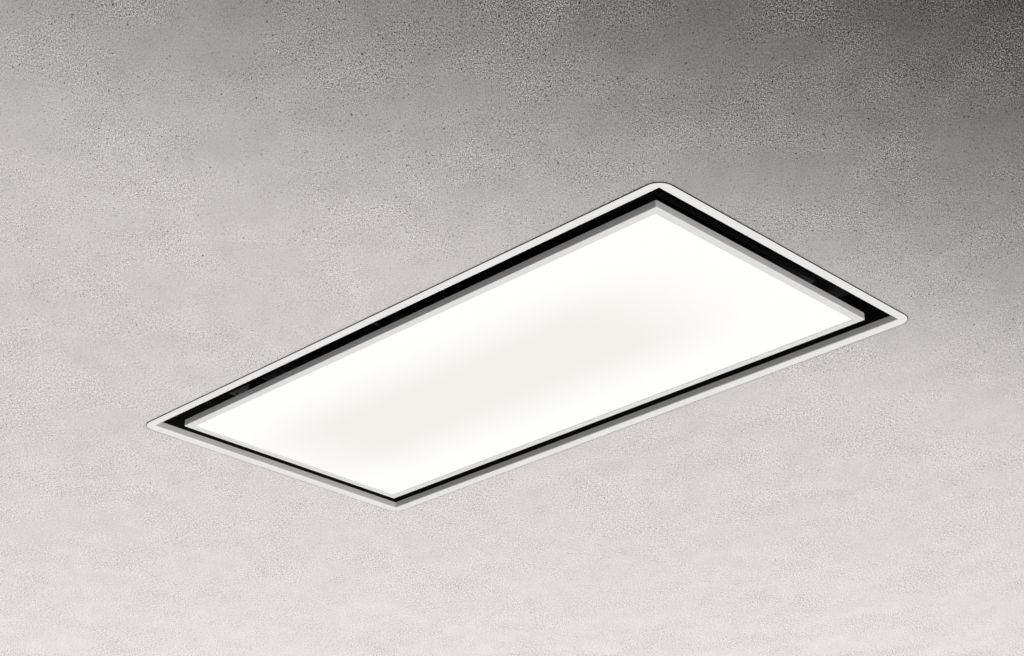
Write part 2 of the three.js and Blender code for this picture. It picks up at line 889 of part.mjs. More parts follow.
const centred = (length, width, z0, z1, y) =>
  box([-length / 2, y - width / 2, z0], [length / 2, y + width / 2, z1]);

const magnet = () => centred(magnetLength, magnetWidth, magnetZ, armZ - seatGap, catchY);

const strikePlate = (length, width) =>
  centred(length, width, onPanelZ, onPanelZ + catchPlateSheet, catchY);

const contactBlock = () => centred(contactLength, contactWidth, magnetZ, armZ - seatGap, catchY);

function addPanel() {
  const panel = new THREE.Group();
  add(panel, "panel_frame", panelFrame(), "whitePaint");
  add(panel, "diffuser", diffuser(), "opal");
  add(panel, "light_guide", lightGuide(), "clear");
  add(panel, "reflector_sheet", reflector(), "reflector");
  add(panel, "light_strip_front", lightStrip(-1), "aluminium");
  add(panel, "light_strip_back", lightStrip(1), "aluminium");
  add(panel, "panel_back", panelBack(), "blackPaint");
  for (const [side, label] of [[-1, "left"], [1, "right"]]) {
    add(panel, `hinge_arm_${label}`, hingeArm(), "zinc").position.x = (side * hingeSpacing) / 2;
    const plate = add(
      panel,
      `catch_plate_${label}`,
      strikePlate(catchPlateLength, catchPlateWidth),
      "steel",
    );
    plate.position.x = (side * catchSpacing) / 2;
  }
  const margin = 2 * contactPadMargin;
  const pad = strikePlate(contactLength + margin, contactWidth + margin);
  add(panel, "contact_pad", pad, "boxPlastic");
  hood.add(panel);
}

function addPanelSupports() {
  for (const [side, label] of [[-1, "left"], [1, "right"]]) {
    const hinge = add(hood, `hinge_bracket_${label}`, hingeBracket(), "zinc");
    hinge.position.x = (side * hingeSpacing) / 2;
    const holder = new THREE.Group();
    holder.position.x = (side * catchSpacing) / 2;
    add(holder, `catch_bracket_${label}`, overArm(bracketWidth), "blackPaint");
    add(holder, `catch_magnet_${label}`, magnet(), "magnet");
    hood.add(holder);
  }
  add(hood, "contact_bracket", overArm(contactLength - 2 * contactBracketInset), "blackPaint");
  add(hood, "contact_block", contactBlock(), "boxPlastic");
  const y = catchY;
  const z = (magnetZ + armZ) / 2;
  const route = [
    [-contactLength / 2 - seatGap, y, z],
    [leadX, y, z],
    [leadX, leadY, z],
    [leadX, leadY, leadZ],
    [lampEntryX, leadY, leadZ],
    [lampEntryX, lampEntryY, leadZ],
    [lampEntryX, lampEntryY, lampEndZ],
    [lampEntryX, driverFront - seatGap, lampEndZ],
  ];
  add(hood, "lamp_lead", lead(route, lampLead, lampLeadBend), "leadJacket");
}

// ---------------------------------------------------------------------------------------------------
// Fan: a scroll housing with an upright impeller, which draws up from the plenum and blows along +X

// The scroll's outline, in by a wall or not. The radius grows clockwise from the tongue to the outlet.
function scroll(inset, endX) {
  const innerY = voluteReach - outletDiameter + inset;
  const start = Math.asin(innerY / (voluteThroat - inset));
  const total = start + 1.5 * Math.PI;
  const steps = 40;
  const spiral = Array.from({ length: steps + 1 }, (_, i) => {
    const turn = start - (total * i) / steps;
    const radius = voluteThroat + ((voluteReach - voluteThroat) * i) / steps - inset;
    return [radius * Math.cos(turn), radius * Math.sin(turn)];
  });
  return [[endX, innerY], ...spiral, [endX, voluteReach - inset]].reverse();
}

const voluteEnd = coverInnerX - seatGap;
const voluteSplit = roofZ + voluteHeight / 2;

function voluteHalf(z0, z1, cavity0, cavity1, hole) {
  const shell = upright(scroll(0, voluteEnd), z0, z1);
  const cavity = upright(scroll(voluteWall, voluteEnd + past), cavity0, cavity1);
  return cut(shell, cavity, hole);
}

function voluteLower() {
  const hole = post(inletHole, roofZ - past, roofZ + 2 * voluteWall, 0, 0, round);
  return voluteHalf(roofZ, voluteSplit, roofZ + voluteWall, voluteSplit + past, hole);
}

function voluteUpper() {
  const radius = dishRadius - dishClearance;
  const hole = post(radius, voluteTop - 2 * voluteWall, voluteTop + past, 0, 0, round);
  const base = voluteSplit + seatGap;
  return voluteHalf(base, voluteTop, base - past, voluteTop - voluteWall, hole);
}

// The bell mouth: its flange lies on the floor of the volute and its throat stands in the impeller.
function inletRing() {
  const z = roofZ + voluteWall + seatGap;
  const throatTop = impellerZ + 2 * impellerSheet;
  const throat = inletRadius - inletSheet;
  const roll = (radius) =>
    [0, 30, 60, 90].map((degrees) => {
      const turn = (degrees * Math.PI) / 180;
      const r = throat + inletRoll - radius * Math.cos(turn);
      return [r, z + inletRoll - radius * Math.sin(turn)];
    });
  const reach = inletRadius + inletFlange;
  return turned([
    [throat, throatTop],
    ...roll(inletRoll),
    [reach, z],
    [reach, z + inletSheet],
    ...roll(inletRoll - inletSheet).reverse(),
    [inletRadius, throatTop],
  ]);
}

// Forward-curved blades between a shroud ring below and a dished back plate above, on hub and shaft.
function impeller() {
  const shroud = turned([
    [impellerEye, impellerZ],
    [impellerRadius, impellerZ],
    [impellerRadius, impellerZ + impellerSheet],
    [impellerEye, impellerZ + impellerSheet],
  ]);
  const wall = dishRadius - impellerSheet;
  const back = turned([
    [shaftRadius / 2, dishZ],
    [dishRadius, dishZ],
    [dishRadius, impellerTop - impellerSheet],
    [impellerRadius, impellerTop - impellerSheet],
    [impellerRadius, impellerTop],
    [wall, impellerTop],
    [wall, dishZ + impellerSheet],
    [shaftRadius / 2, dishZ + impellerSheet],
  ]);
  const hub = post(hubRadius, hubTop - hubHeight, hubTop);
  const shaft = post(shaftRadius, hubTop - hubHeight - shaftTail, hubTop + shaftLength);
  const blades = Array.from({ length: bladeCount }, (_, i) => blade((360 * i) / bladeCount));
  return join(shroud, back, hub, shaft, ...blades);
}

function blade(turn) {
  const depth = impellerRadius - impellerEye - 2 * bladeInset;
  const steps = 4;
  const side = (thickness) =>
    Array.from({ length: steps + 1 }, (_, i) => {
      const share = i / steps;
      const lean = (bladeSweep * Math.PI) / 180 * share * share;
      const radius = impellerEye + bladeInset + depth * share;
      const angle = -lean * (depth / impellerRadius) + thickness / radius;
      return [radius * Math.cos(angle), radius * Math.sin(angle)];
    });
  const outline = [...side(-bladeThickness / 2), ...side(bladeThickness / 2).reverse()];
  const z0 = impellerZ + impellerSheet / 2;
  return upright(outline, z0, impellerTop - impellerSheet / 2).rotate([0, 0, turn]);
}

function motor() {
  const can = post(motorRadius, motorZ, motorTop - motorNeckHeight, 0, 0, round);
  const neck = post(motorNeckRadius, motorZ, motorTop, 0, 0, round);
  const boreTop = hubTop + shaftLength + shaftEndGap;
  const bore = post(shaftRadius + shaftClearance, motorZ - past, boreTop);
  return cut(join(can, neck), bore);
}

function motorPlate() {
  const disc = post(motorPlateRadius, motorPlateZ, motorPlateZ + motorPlateSheet, 0, 0, round);
  const hole = post(
    motorLead / 2 + plateHoleMargin,
    motorPlateZ - past,
    motorPlateZ + motorPlateSheet + past,
    -motorLeadOffset,
  );
  return cut(disc, hole);
}

function motorCover() {
  const outer = slab(coverLength, coverWidth, roofZ, hoodDepth);
  const inner = slab(
    coverLength - 2 * casingSheet,
    coverWidth - 2 * casingSheet,
    roofZ - past,
    hoodDepth - casingSheet,
  );
  const flange = slab(
    coverLength + 2 * coverFlange,
    coverWidth + 2 * coverFlange,
    roofZ,
    roofZ + casingSheet,
  );
  const outlet = bar(
    outletRadius + seatGap,
    coverInnerX - past,
    coverLength / 2 + past,
    outletY,
    outletZ,
    round,
  );
  const wallX = -coverLength / 2;
  const hole = motorLead / 2 + 2 * seatGap + grommetWall;
  const entry = bar(hole, wallX - past, wallX + casingSheet + past, 0, motorEntryZ);
  return cut(join(outer, flange), inner, outlet, entry);
}

// A ring of rubber in a hole: a flange on each face and a neck between them, along Z from z = 0.
function grommet(leadDiameter, thickness) {
  const bore = leadDiameter / 2 + seatGap;
  const neck = bore + grommetWall;
  const flange = neck + grommetFlange;
  return turned(
    [
      [bore, -seatGap - grommetFlangeSheet],
      [flange, -seatGap - grommetFlangeSheet],
      [flange, -seatGap],
      [neck, -seatGap],
      [neck, thickness + seatGap],
      [flange, thickness + seatGap],
      [flange, thickness + seatGap + grommetFlangeSheet],
      [bore, thickness + seatGap + grommetFlangeSheet],
    ],
    smallRound,
  );
}

function addFan() {
  add(hood, "volute_lower", voluteLower(), "fanPlastic");
  add(hood, "volute_upper", voluteUpper(), "fanPlastic");
  add(hood, "inlet_ring", inletRing(), "fanPlastic");
  add(hood, "impeller", impeller(), "fanPlastic");
  add(hood, "motor", motor(), "motorSteel");
  add(hood, "motor_plate", motorPlate(), "zinc");
  for (let i = 0; i < grommetCount; i++) {
    const turn = (2 * Math.PI * (i + 0.5)) / grommetCount;
    const mount = add(
      hood,
      `motor_mount_${i + 1}`,
      post(grommetRadius, voluteTop + seatGap, motorPlateZ - seatGap),
      "rubber",
    );
    mount.position.set(grommetCircle * Math.cos(turn), grommetCircle * Math.sin(turn), 0);
  }
  const can = post(capacitorRadius, roofZ, roofZ + capacitorHeight, 0, 0, round);
  const capacitor = add(hood, "capacitor", can, "palePlastic");
  const corner = capacitorRadius + casingSheet + capacitorGap;
  capacitor.position.set(-coverLength / 2 + corner, -coverWidth / 2 + corner, 0);
  add(hood, "motor_cover", motorCover(), "zinc");
}

// ---------------------------------------------------------------------------------------------------
// Outlet collar and its two non-return flaps on an upright pin

const bore = flapPin / 2 + seatGap;

function outletCollar() {
  const end = collarLength + collarX - coverInnerX;
  const register = collarX - coverInnerX;
  const beadZ = end - collarBeadInset;
  const ring = turned(
    [
      [outletBore, 0],
      [outletRadius, 0],
      [outletRadius, register],
      [outletRadius + collarFlange, register],
      [outletRadius + collarFlange, register + collarFlangeSheet],
      [outletRadius, register + collarFlangeSheet],
      [outletRadius, beadZ - collarBeadWidth / 2],
      [outletRadius + collarBead, beadZ],
      [outletRadius, beadZ + collarBeadWidth / 2],
      [outletRadius, end],
      [outletBore, end],
    ],
    fineRound,
  )
    .rotate([0, 90, 0])
    .translate([coverInnerX, outletY, outletZ]);
  const reach = outletRadius + past;
  const pinHole = post(bore, outletZ - reach, outletZ + reach, flapX, outletY);
  return cut(ring, pinHole);
}

// One half-moon flap, about the pin, with two barrels at the given heights. side is 1 for the flap
// that reaches towards +Y.
function flap(side, heights) {
  const radius = outletBore - flapClearance;
  const edge = flapBarrel / 2 + flapEdgeGap;
  const disc = bar(radius, -flapBarrel / 2, -flapBarrel / 2 + flapSheet, 0, 0, fineRound);
  const reach = radius + past;
  const half = box([-flapBarrel, edge, -reach], [flapBarrel, reach, reach]);
  let whole = disc.intersect(half);
  for (const z of heights) {
    const [z0, z1] = [z - flapBarrelHeight / 2, z + flapBarrelHeight / 2];
    const tab = box([-flapBarrel / 2, 0, z0], [-flapBarrel / 2 + flapSheet, edge + flapSheet, z1]);
    whole = join(whole, tab, post(flapBarrel / 2, z0, z1));
  }
  const [top, bottom] = [outletRadius, -outletRadius];
  whole = cut(whole, post(bore, bottom, top));
  return side > 0 ? whole : whole.mirror([0, 1, 0]);
}

function addOutlet() {
  add(hood, "outlet_collar", outletCollar(), "boxPlastic");
  const flaps = new THREE.Group();
  flaps.position.set(flapX, outletY, outletZ);
  const step = flapBarrelHeight + flapBarrelGap;
  add(flaps, "flap_back", flap(1, [step / 2, -1.5 * step]), "palePlastic");
  add(flaps, "flap_front", flap(-1, [1.5 * step, -step / 2]), "palePlastic");
  const reach = outletRadius - collarWall / 4;
  add(flaps, "flap_pin", post(flapPin / 2, -reach, reach), "steel");
  hood.add(flaps);
}

// ---------------------------------------------------------------------------------------------------
// Control unit on the plenum, with the supply gland

const controlFloor = roofZ + controlWall;
const motorEntryZ = roofZ + motorEntryLift;
const lampEndZ = controlFloor + lampEndLift;
const glandY = -controlWidth / 2 + glandSideGap;
const glandZ = roofZ + controlHeight / 2;

// Where the motor's connector ends on the board, from the board's left edge.
const connectorEnd = boardLength - connectorInset;

// A box in the control unit's own place on the plenum, from its middle and its inner floor.
const inControl = ([x0, y0, z0], [x1, y1, z1]) =>
  box([controlX + x0, y0, controlFloor + z0], [controlX + x1, y1, controlFloor + z1]);

const controlHalf = [controlLength / 2 - controlWall, controlWidth / 2 - controlWall];
const boardFar = [controlHalf[0] - boardEndGap, controlHalf[1] - boardSideGap];
const boardCorner = [boardFar[0] - boardLength, -boardFar[1]];

function controlBox() {
  const outer = slab(controlLength, controlWidth, roofZ, roofZ + controlHeight);
  const inner = slab(
    controlLength - 2 * controlWall,
    controlWidth - 2 * controlWall,
    controlFloor,
    roofZ + controlHeight + past,
  );
  const posts = [boardCorner[0] + boardPostInset, boardFar[0] - boardPostInset].flatMap((x) =>
    [boardCorner[1] + boardPostInset, boardFar[1] - boardPostInset].map((y) =>
      post(boardPost, controlFloor - controlWall / 2, controlFloor + boardLift, x, y),
    ),
  );
  const shell = join(cut(outer, inner), ...posts).translate([controlX, 0, 0]);
  const wallX = controlX + controlLength / 2;
  const entryRadius = motorLead / 2 + motorEntryMargin;
  const entry = bar(entryRadius, wallX - 2 * controlWall, wallX + past, 0, motorEntryZ);
  const endX = controlX - controlLength / 2;
  const gland = bar(glandThread + seatGap, endX - past, endX + 2 * controlWall, glandY, glandZ);
  return cut(shell, entry, gland, lampEntryHole(roofZ - past, controlFloor + past));
}

function controlLid() {
  const z = roofZ + controlHeight + seatGap;
  const plate = slab(controlLength, controlWidth, z, z + controlLidSheet);
  const margin = controlWall + seatGap;
  const rimLength = controlLength - 2 * margin;
  const rimWidth = controlWidth - 2 * margin;
  const rim = cut(
    slab(rimLength, rimWidth, z - lidRimDepth, z + controlLidSheet / 2),
    slab(rimLength - 2 * lidRimSheet, rimWidth - 2 * lidRimSheet, z - lidRimDepth - past, z),
  );
  return join(plate, rim).translate([controlX, 0, 0]);
}

// The board with the parts on it and the motor's connector.
function controlBoard() {
  const z = boardLift + seatGap;
  const top = z + boardSheet;
  const sink = boardSheet / 2;
  const onBoard = ([x0, y0], [x1, y1], height) =>
    inControl(
      [boardCorner[0] + x0, boardCorner[1] + y0, top - sink],
      [boardCorner[0] + x1, boardCorner[1] + y1, top + height],
    );
  const middle = -boardCorner[1];
  const connectorTop = motorEntryZ - controlFloor + motorLead;
  return join(
    inControl([...boardCorner, z], [...boardFar, top]),
    ...boardParts.map(([near, far, height]) => onBoard(near, far, height)),
    onBoard(
      [connectorEnd - connectorLength, middle - connectorWidth / 2],
      [connectorEnd, middle + connectorWidth / 2],
      connectorTop - top,
    ),
  );
}

function supplyGland() {
  const wall = controlWall + 2 * seatGap;
  return turned(
    [
      [glandBore, -glandLength],
      [glandRadius - glandTaperDepth, -glandLength],
      [glandRadius - glandShoulder, -glandLength + glandTaper],
      [glandRadius, -glandLength + glandTaper + glandShoulder],
      [glandRadius, 0],
      [glandThread, 0],
      [glandThread, wall],
      [glandRadius, wall],
      [glandRadius, wall + glandNut],
      [glandBore, wall + glandNut],
    ],
    smallRound,
  )
    .rotate([0, 90, 0])
    .translate([controlX - controlLength / 2 - seatGap, glandY, glandZ]);
}

function addControls() {
  add(hood, "control_box", controlBox(), "boxPlastic");
  add(hood, "control_lid", controlLid(), "boxPlastic");
  add(hood, "control_board", controlBoard(), "board");
  const driverX = -controlHalf[0] + driverEndGap;
  const driver = inControl(
    [driverX, driverFront, seatGap],
    [driverX + driverLength, controlHalf[1] - driverSideGap, driverHeight],
  );
  add(hood, "lamp_driver", driver, "palePlastic");
  const terminalX = -controlHalf[0] + glandNut + terminalEndGap;
  const terminals = inControl(
    [terminalX, glandY - terminalWidth / 2, seatGap],
    [terminalX + terminalLength, glandY + terminalWidth / 2, terminalHeight],
  );
  add(hood, "terminal_block", terminals, "palePlastic");
  add(hood, "supply_gland", supplyGland(), "boxPlastic");
  const roof = casingSheet + seatGap + controlWall;
  const lampGrommet = add(hood, "lamp_grommet", grommet(lampLead, roof), "rubber");
  lampGrommet.position.set(lampEntryX, lampEntryY, plenumDepth - casingSheet);
  const motorGrommet = add(hood, "motor_grommet", grommet(motorLead, casingSheet), "rubber");
  motorGrommet.rotation.y = Math.PI / 2;
  motorGrommet.position.set(-coverLength / 2, 0, motorEntryZ);
  const topZ = motorPlateZ + motorPlateSheet + motorLeadLift;
  const sideX = -coverLength / 2 + casingSheet + motorLeadInset;
  const route = [
    [-motorLeadOffset, 0, motorTop + seatGap],
    [-motorLeadOffset, 0, topZ],
    [sideX, 0, topZ],
    [sideX, 0, motorEntryZ],
    [controlX + boardCorner[0] + connectorEnd + seatGap, 0, motorEntryZ],
  ];
  add(hood, "motor_lead", lead(route, motorLead, motorLeadBend), "leadJacket");
}

addCasing();
addFilters();
addPanel();
addPanelSupports();
addFan();
addOutlet();
addControls();

export default hood;
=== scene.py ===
# Looks of the ceiling range hood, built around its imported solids. Metres, in the solids' own frame: z = 0 is
# the ceiling plane, X runs along the long side, and what is seen from the room is below or just above it.

import json
import math
import random

import bmesh
import bpy
from mathutils import Matrix, Quaternion, Vector


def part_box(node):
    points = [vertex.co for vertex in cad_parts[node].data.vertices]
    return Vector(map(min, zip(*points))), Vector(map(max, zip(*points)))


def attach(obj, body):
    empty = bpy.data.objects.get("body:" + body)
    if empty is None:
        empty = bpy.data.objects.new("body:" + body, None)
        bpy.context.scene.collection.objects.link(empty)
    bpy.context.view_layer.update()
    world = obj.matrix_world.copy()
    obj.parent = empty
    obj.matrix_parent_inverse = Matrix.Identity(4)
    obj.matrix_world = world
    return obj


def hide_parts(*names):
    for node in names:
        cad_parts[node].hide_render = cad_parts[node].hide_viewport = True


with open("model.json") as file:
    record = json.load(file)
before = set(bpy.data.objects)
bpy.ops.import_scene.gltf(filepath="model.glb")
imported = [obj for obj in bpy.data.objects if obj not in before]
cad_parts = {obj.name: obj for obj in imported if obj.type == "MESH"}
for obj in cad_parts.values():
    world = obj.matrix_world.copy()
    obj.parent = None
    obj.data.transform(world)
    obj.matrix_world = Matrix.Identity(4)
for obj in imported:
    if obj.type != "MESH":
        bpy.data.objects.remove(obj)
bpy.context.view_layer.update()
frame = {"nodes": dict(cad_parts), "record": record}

MM = 0.001
SHARP = math.radians(35)  # an edge turning more than this is a real edge
SAME_PLACE = 2e-6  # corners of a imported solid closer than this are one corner
FLAT = math.radians(1)
body_of = {
    node: body
    for body, members in frame["record"]["behaviour"]["bodies"].items()
    for node in members
}
random.seed(5)  # for how far each screw is turned


# --------------------------------------------------------------------
# Materials


def paint(code):
    """The linear colour of six hexadecimal digits, by the usual curve of a screen."""
    parts = [int(code[i : i + 2], 16) / 255 for i in (0, 2, 4)]
    return [((c + 0.055) / 1.055) ** 2.4 if c > 0.04 else c / 12.92 for c in parts] + [1.0]


class Finish:
    """A material made of nodes round one shader. Constants are set on the shader's own sockets."""

    def __init__(self, name, **constants):
        self.material = bpy.data.materials.new(name)
        self.material.use_nodes = True
        self.tree = self.material.node_tree
        self.shader = self.tree.nodes["Principled BSDF"]
        self.place = self.add("ShaderNodeTexCoord").outputs["Object"]
        for socket, value in constants.items():
            self.shader.inputs[socket.replace("_", " ")].default_value = value

    def add(self, kind, **settings):
        node = self.tree.nodes.new(kind)
        for key, value in settings.items():
            setattr(node, key, value)
        return node

    def feed(self, socket, source):
        if isinstance(source, bpy.types.NodeSocket):
            self.tree.links.new(source, socket)
        else:
            socket.default_value = source

    def stretched(self, stretch):
        """The place with each axis scaled, so that a pattern is drawn out along the axes scaled least."""
        mapping = self.add("ShaderNodeMapping")
        mapping.inputs["Scale"].default_value = stretch
        self.feed(mapping.inputs["Vector"], self.place)
        return mapping.outputs["Vector"]

    def noise(self, scale, detail=3.0, stretch=(1, 1, 1), roughness=0.55, at=None):
        """Noise about 0.5, with its scale per metre."""
        node = self.add("ShaderNodeTexNoise")
        self.feed(node.inputs["Vector"], at or self.stretched(stretch))
        node.inputs["Scale"].default_value = scale
        node.inputs["Detail"].default_value = detail
        node.inputs["Roughness"].default_value = roughness
        return node.outputs["Fac"]

    def cells(self, scale, feature="F1", output="Color"):
        node = self.add("ShaderNodeTexVoronoi", feature=feature)
        self.feed(node.inputs["Vector"], self.stretched((1, 1, 1)))
        node.inputs["Scale"].default_value = scale
        return node.outputs[output]

    def axis(self, name):
        """One coordinate of the place, in metres."""
        node = self.add("ShaderNodeSeparateXYZ")
        self.feed(node.inputs[0], self.place)
        return node.outputs[name]

    def span(self, value, low, high, to_low=0.0, to_high=1.0, smooth=False):
        """A value between two levels mapped onto two others, and held beyond them."""
        node = self.add("ShaderNodeMapRange")
        if smooth:
            node.interpolation_type = "SMOOTHSTEP"
        for socket, source in zip(node.inputs, (value, low, high, to_low, to_high)):
            self.feed(socket, source)
        return node.outputs["Result"]

    def math(self, operation, first, second=0.0):
        node = self.add("ShaderNodeMath", operation=operation)
        self.feed(node.inputs[0], first)
        self.feed(node.inputs[1], second)
        return node.outputs[0]

    def mixed(self, share, first, second):
        node = self.add("ShaderNodeMix", data_type="RGBA")
        for socket, source in zip((node.inputs[0], node.inputs[6], node.inputs[7]), (share, first, second)):
            self.feed(socket, source)
        return node.outputs[2]

    def colour(self, source):
        self.feed(self.shader.inputs["Base Color"], source)

    def rough(self, source):
        self.feed(self.shader.inputs["Roughness"], source)

    def relief(self, height, depth):
        """Bump whose full height is depth, in metres. A second call lies on the first."""
        node = self.add("ShaderNodeBump")
        node.inputs["Distance"].default_value = depth
        self.feed(node.inputs["Height"], height)
        normal = self.shader.inputs["Normal"]
        if normal.is_linked:
            self.feed(node.inputs["Normal"], normal.links[0].from_socket)
        self.feed(normal, node.outputs["Normal"])


def powder_coat(name, light, dark, rough, grain=1400, depth=0.00003, **constants):
    """Baked paint: a faint orange peel, a cloudy tone and a few dull patches."""
    made = Finish(name, **constants)
    light, dark = paint(light), paint(dark)
    clouds = made.noise(9, detail=3)
    specks = made.noise(2600, detail=1)
    tone = made.mixed(made.span(clouds, 0.35, 0.65), light, dark)
    made.colour(made.mixed(made.span(specks, 0.62, 0.72, 0, 0.25), tone, dark))
    made.rough(made.span(made.noise(40, detail=4), 0.3, 0.7, *rough))
    made.relief(made.noise(grain, detail=2), depth)
    return made


def zinc():
    """Galvanised sheet: a faint spangle of crystals, drawn streaks and dull white bloom."""
    made = Finish("zinc", Metallic=0.92)
    crystals = made.add("ShaderNodeSeparateColor")
    made.feed(crystals.inputs[0], made.cells(170))
    facet = crystals.outputs[0]
    bloom = made.span(made.noise(7, detail=5), 0.45, 0.7)
    base = made.mixed(facet, paint("a3a8ab"), paint("b7bbbd"))
    made.colour(made.mixed(made.math("MULTIPLY", bloom, 0.4), base, paint("aeb1b1")))
    made.rough(made.span(made.math("ADD", facet, bloom), 0, 2, 0.34, 0.58))
    made.relief(facet, 0.00001)
    made.relief(made.noise(60, detail=3, stretch=(1, 12, 1)), 0.00003)
    return made


def brushed(name, light, dark, rough, stretch, scale=260):
    """Rolled metal: fine lines one way, and smears that dull it."""
    made = Finish(name, Metallic=0.95)
    lines = made.noise(scale, detail=4, stretch=stretch)
    smears = made.noise(18, detail=4)
    made.colour(made.mixed(made.span(lines, 0.3, 0.7), paint(light), paint(dark)))
    made.rough(made.span(made.math("ADD", lines, smears), 0.7, 1.3, *rough))
    made.relief(lines, 0.00002)
    return made


def moulded(name, light, dark, rough, grain=2200, depth=0.00003, **constants):
    """Moulded plastic: an even spark grain, slight flow marks and a rubbed sheen."""
    made = Finish(name, **constants)
    flow = made.noise(22, detail=4, stretch=(1, 2.5, 1))
    made.colour(made.mixed(made.span(flow, 0.35, 0.65), paint(light), paint(dark)))
    made.rough(made.span(made.noise(55, detail=4), 0.3, 0.7, *rough))
    made.relief(made.noise(grain, detail=1), depth)
    return made


def opal():
    """Opal acrylic lit from its edges: brightest at the rim, a little darker and warmer in the middle."""
    made = Finish("opal_acrylic", IOR=1.49)
    tint = made.noise(5, detail=3)
    made.colour(made.mixed(tint, paint("9b9b9a"), paint("9f9e9d")))
    made.rough(made.span(made.noise(60, detail=3), 0.3, 0.7, 0.3, 0.38))
    made.relief(made.noise(1800, detail=1), 0.00001)
    along = made.math("ABSOLUTE", made.math("ADD", made.axis("X"), GLOW_SHIFT))
    across = made.math("ABSOLUTE", made.axis("Y"))
    toward_end = made.math("POWER", made.span(along, *GLOW_ALONG), 2.0)
    toward_side = made.math("POWER", made.span(across, *GLOW_ACROSS), 2.0)
    from_middle = made.math("SQRT", made.math("ADD", toward_end, toward_side))
    share = made.span(from_middle, 0.0, 1.0, 0, 1, smooth=True)
    made.feed(made.shader.inputs["Emission Color"], made.mixed(share, GLOW_MIDDLE, GLOW_EDGE))
    on_face = made.span(made.axis("Z"), *GLOW_HEIGHTS, GLOW_STRENGTH, 0.0)
    made.feed(made.shader.inputs["Emission Strength"], on_face)
    return made


GLOW_SHIFT = 0.05  # the darker middle lies this far towards -X
GLOW_ALONG = (0.22, 0.47)  # from the middle, where it starts to brighten and where it is brightest
GLOW_ACROSS = (0.035, 0.16)
GLOW_MIDDLE = (0.861, 0.822, 0.778, 1)
GLOW_EDGE = (1.0, 1.0, 0.98, 1)
GLOW_STRENGTH = 0.66
GLOW_HEIGHTS = (-0.0007, 0.0)  # the plate's rounded edge, where the light stops


def board():
    """Circuit board: green mask over copper tracks."""
    made = Finish("circuit_board")
    tracks = made.cells(420, "DISTANCE_TO_EDGE", "Distance")
    line = made.span(tracks, 0.05, 0.08)
    made.colour(made.mixed(line, paint("3f8a52"), paint("123f26")))
    made.rough(made.span(made.noise(80, detail=2), 0.3, 0.7, 0.25, 0.4))
    made.relief(line, 0.00003)
    return made


def drawn_out(made, x, y):
    """The place, with the diagonal from +X to +Y drawn out."""
    place = made.add("ShaderNodeCombineXYZ")
    made.feed(place.inputs[0], made.math("ADD", x, y))
    made.feed(place.inputs[1], made.math("MULTIPLY", made.math("SUBTRACT", y, x), DRAWN_OUT))
    return place.outputs[0]


def trim_shadow(made, x, y):
    """How dark the painted shadow beside the trim is: a thin contact shadow, and a faint cast shadow on the
    far sides.
    """
    shades = []
    for shift, levels in ((0.0, CONTACT_SHADOW), (SHADOW_SHIFT, CAST_SHADOW)):
        past = []
        for value, half, move in ((x, TRIM_HALF[0], shift), (y, TRIM_HALF[1], -shift)):
            out = made.math("ABSOLUTE", made.math("ADD", value, move))
            outside = made.math("SUBTRACT", out, half - TRIM_CORNER)
            past.append(made.math("POWER", made.math("MAXIMUM", outside, 0.0), 2.0))
        away = made.math("SUBTRACT", made.math("SQRT", made.math("ADD", *past)), TRIM_CORNER)
        shades.append(made.span(away, *levels, 0.0))
    return made.math("ADD", *shades)


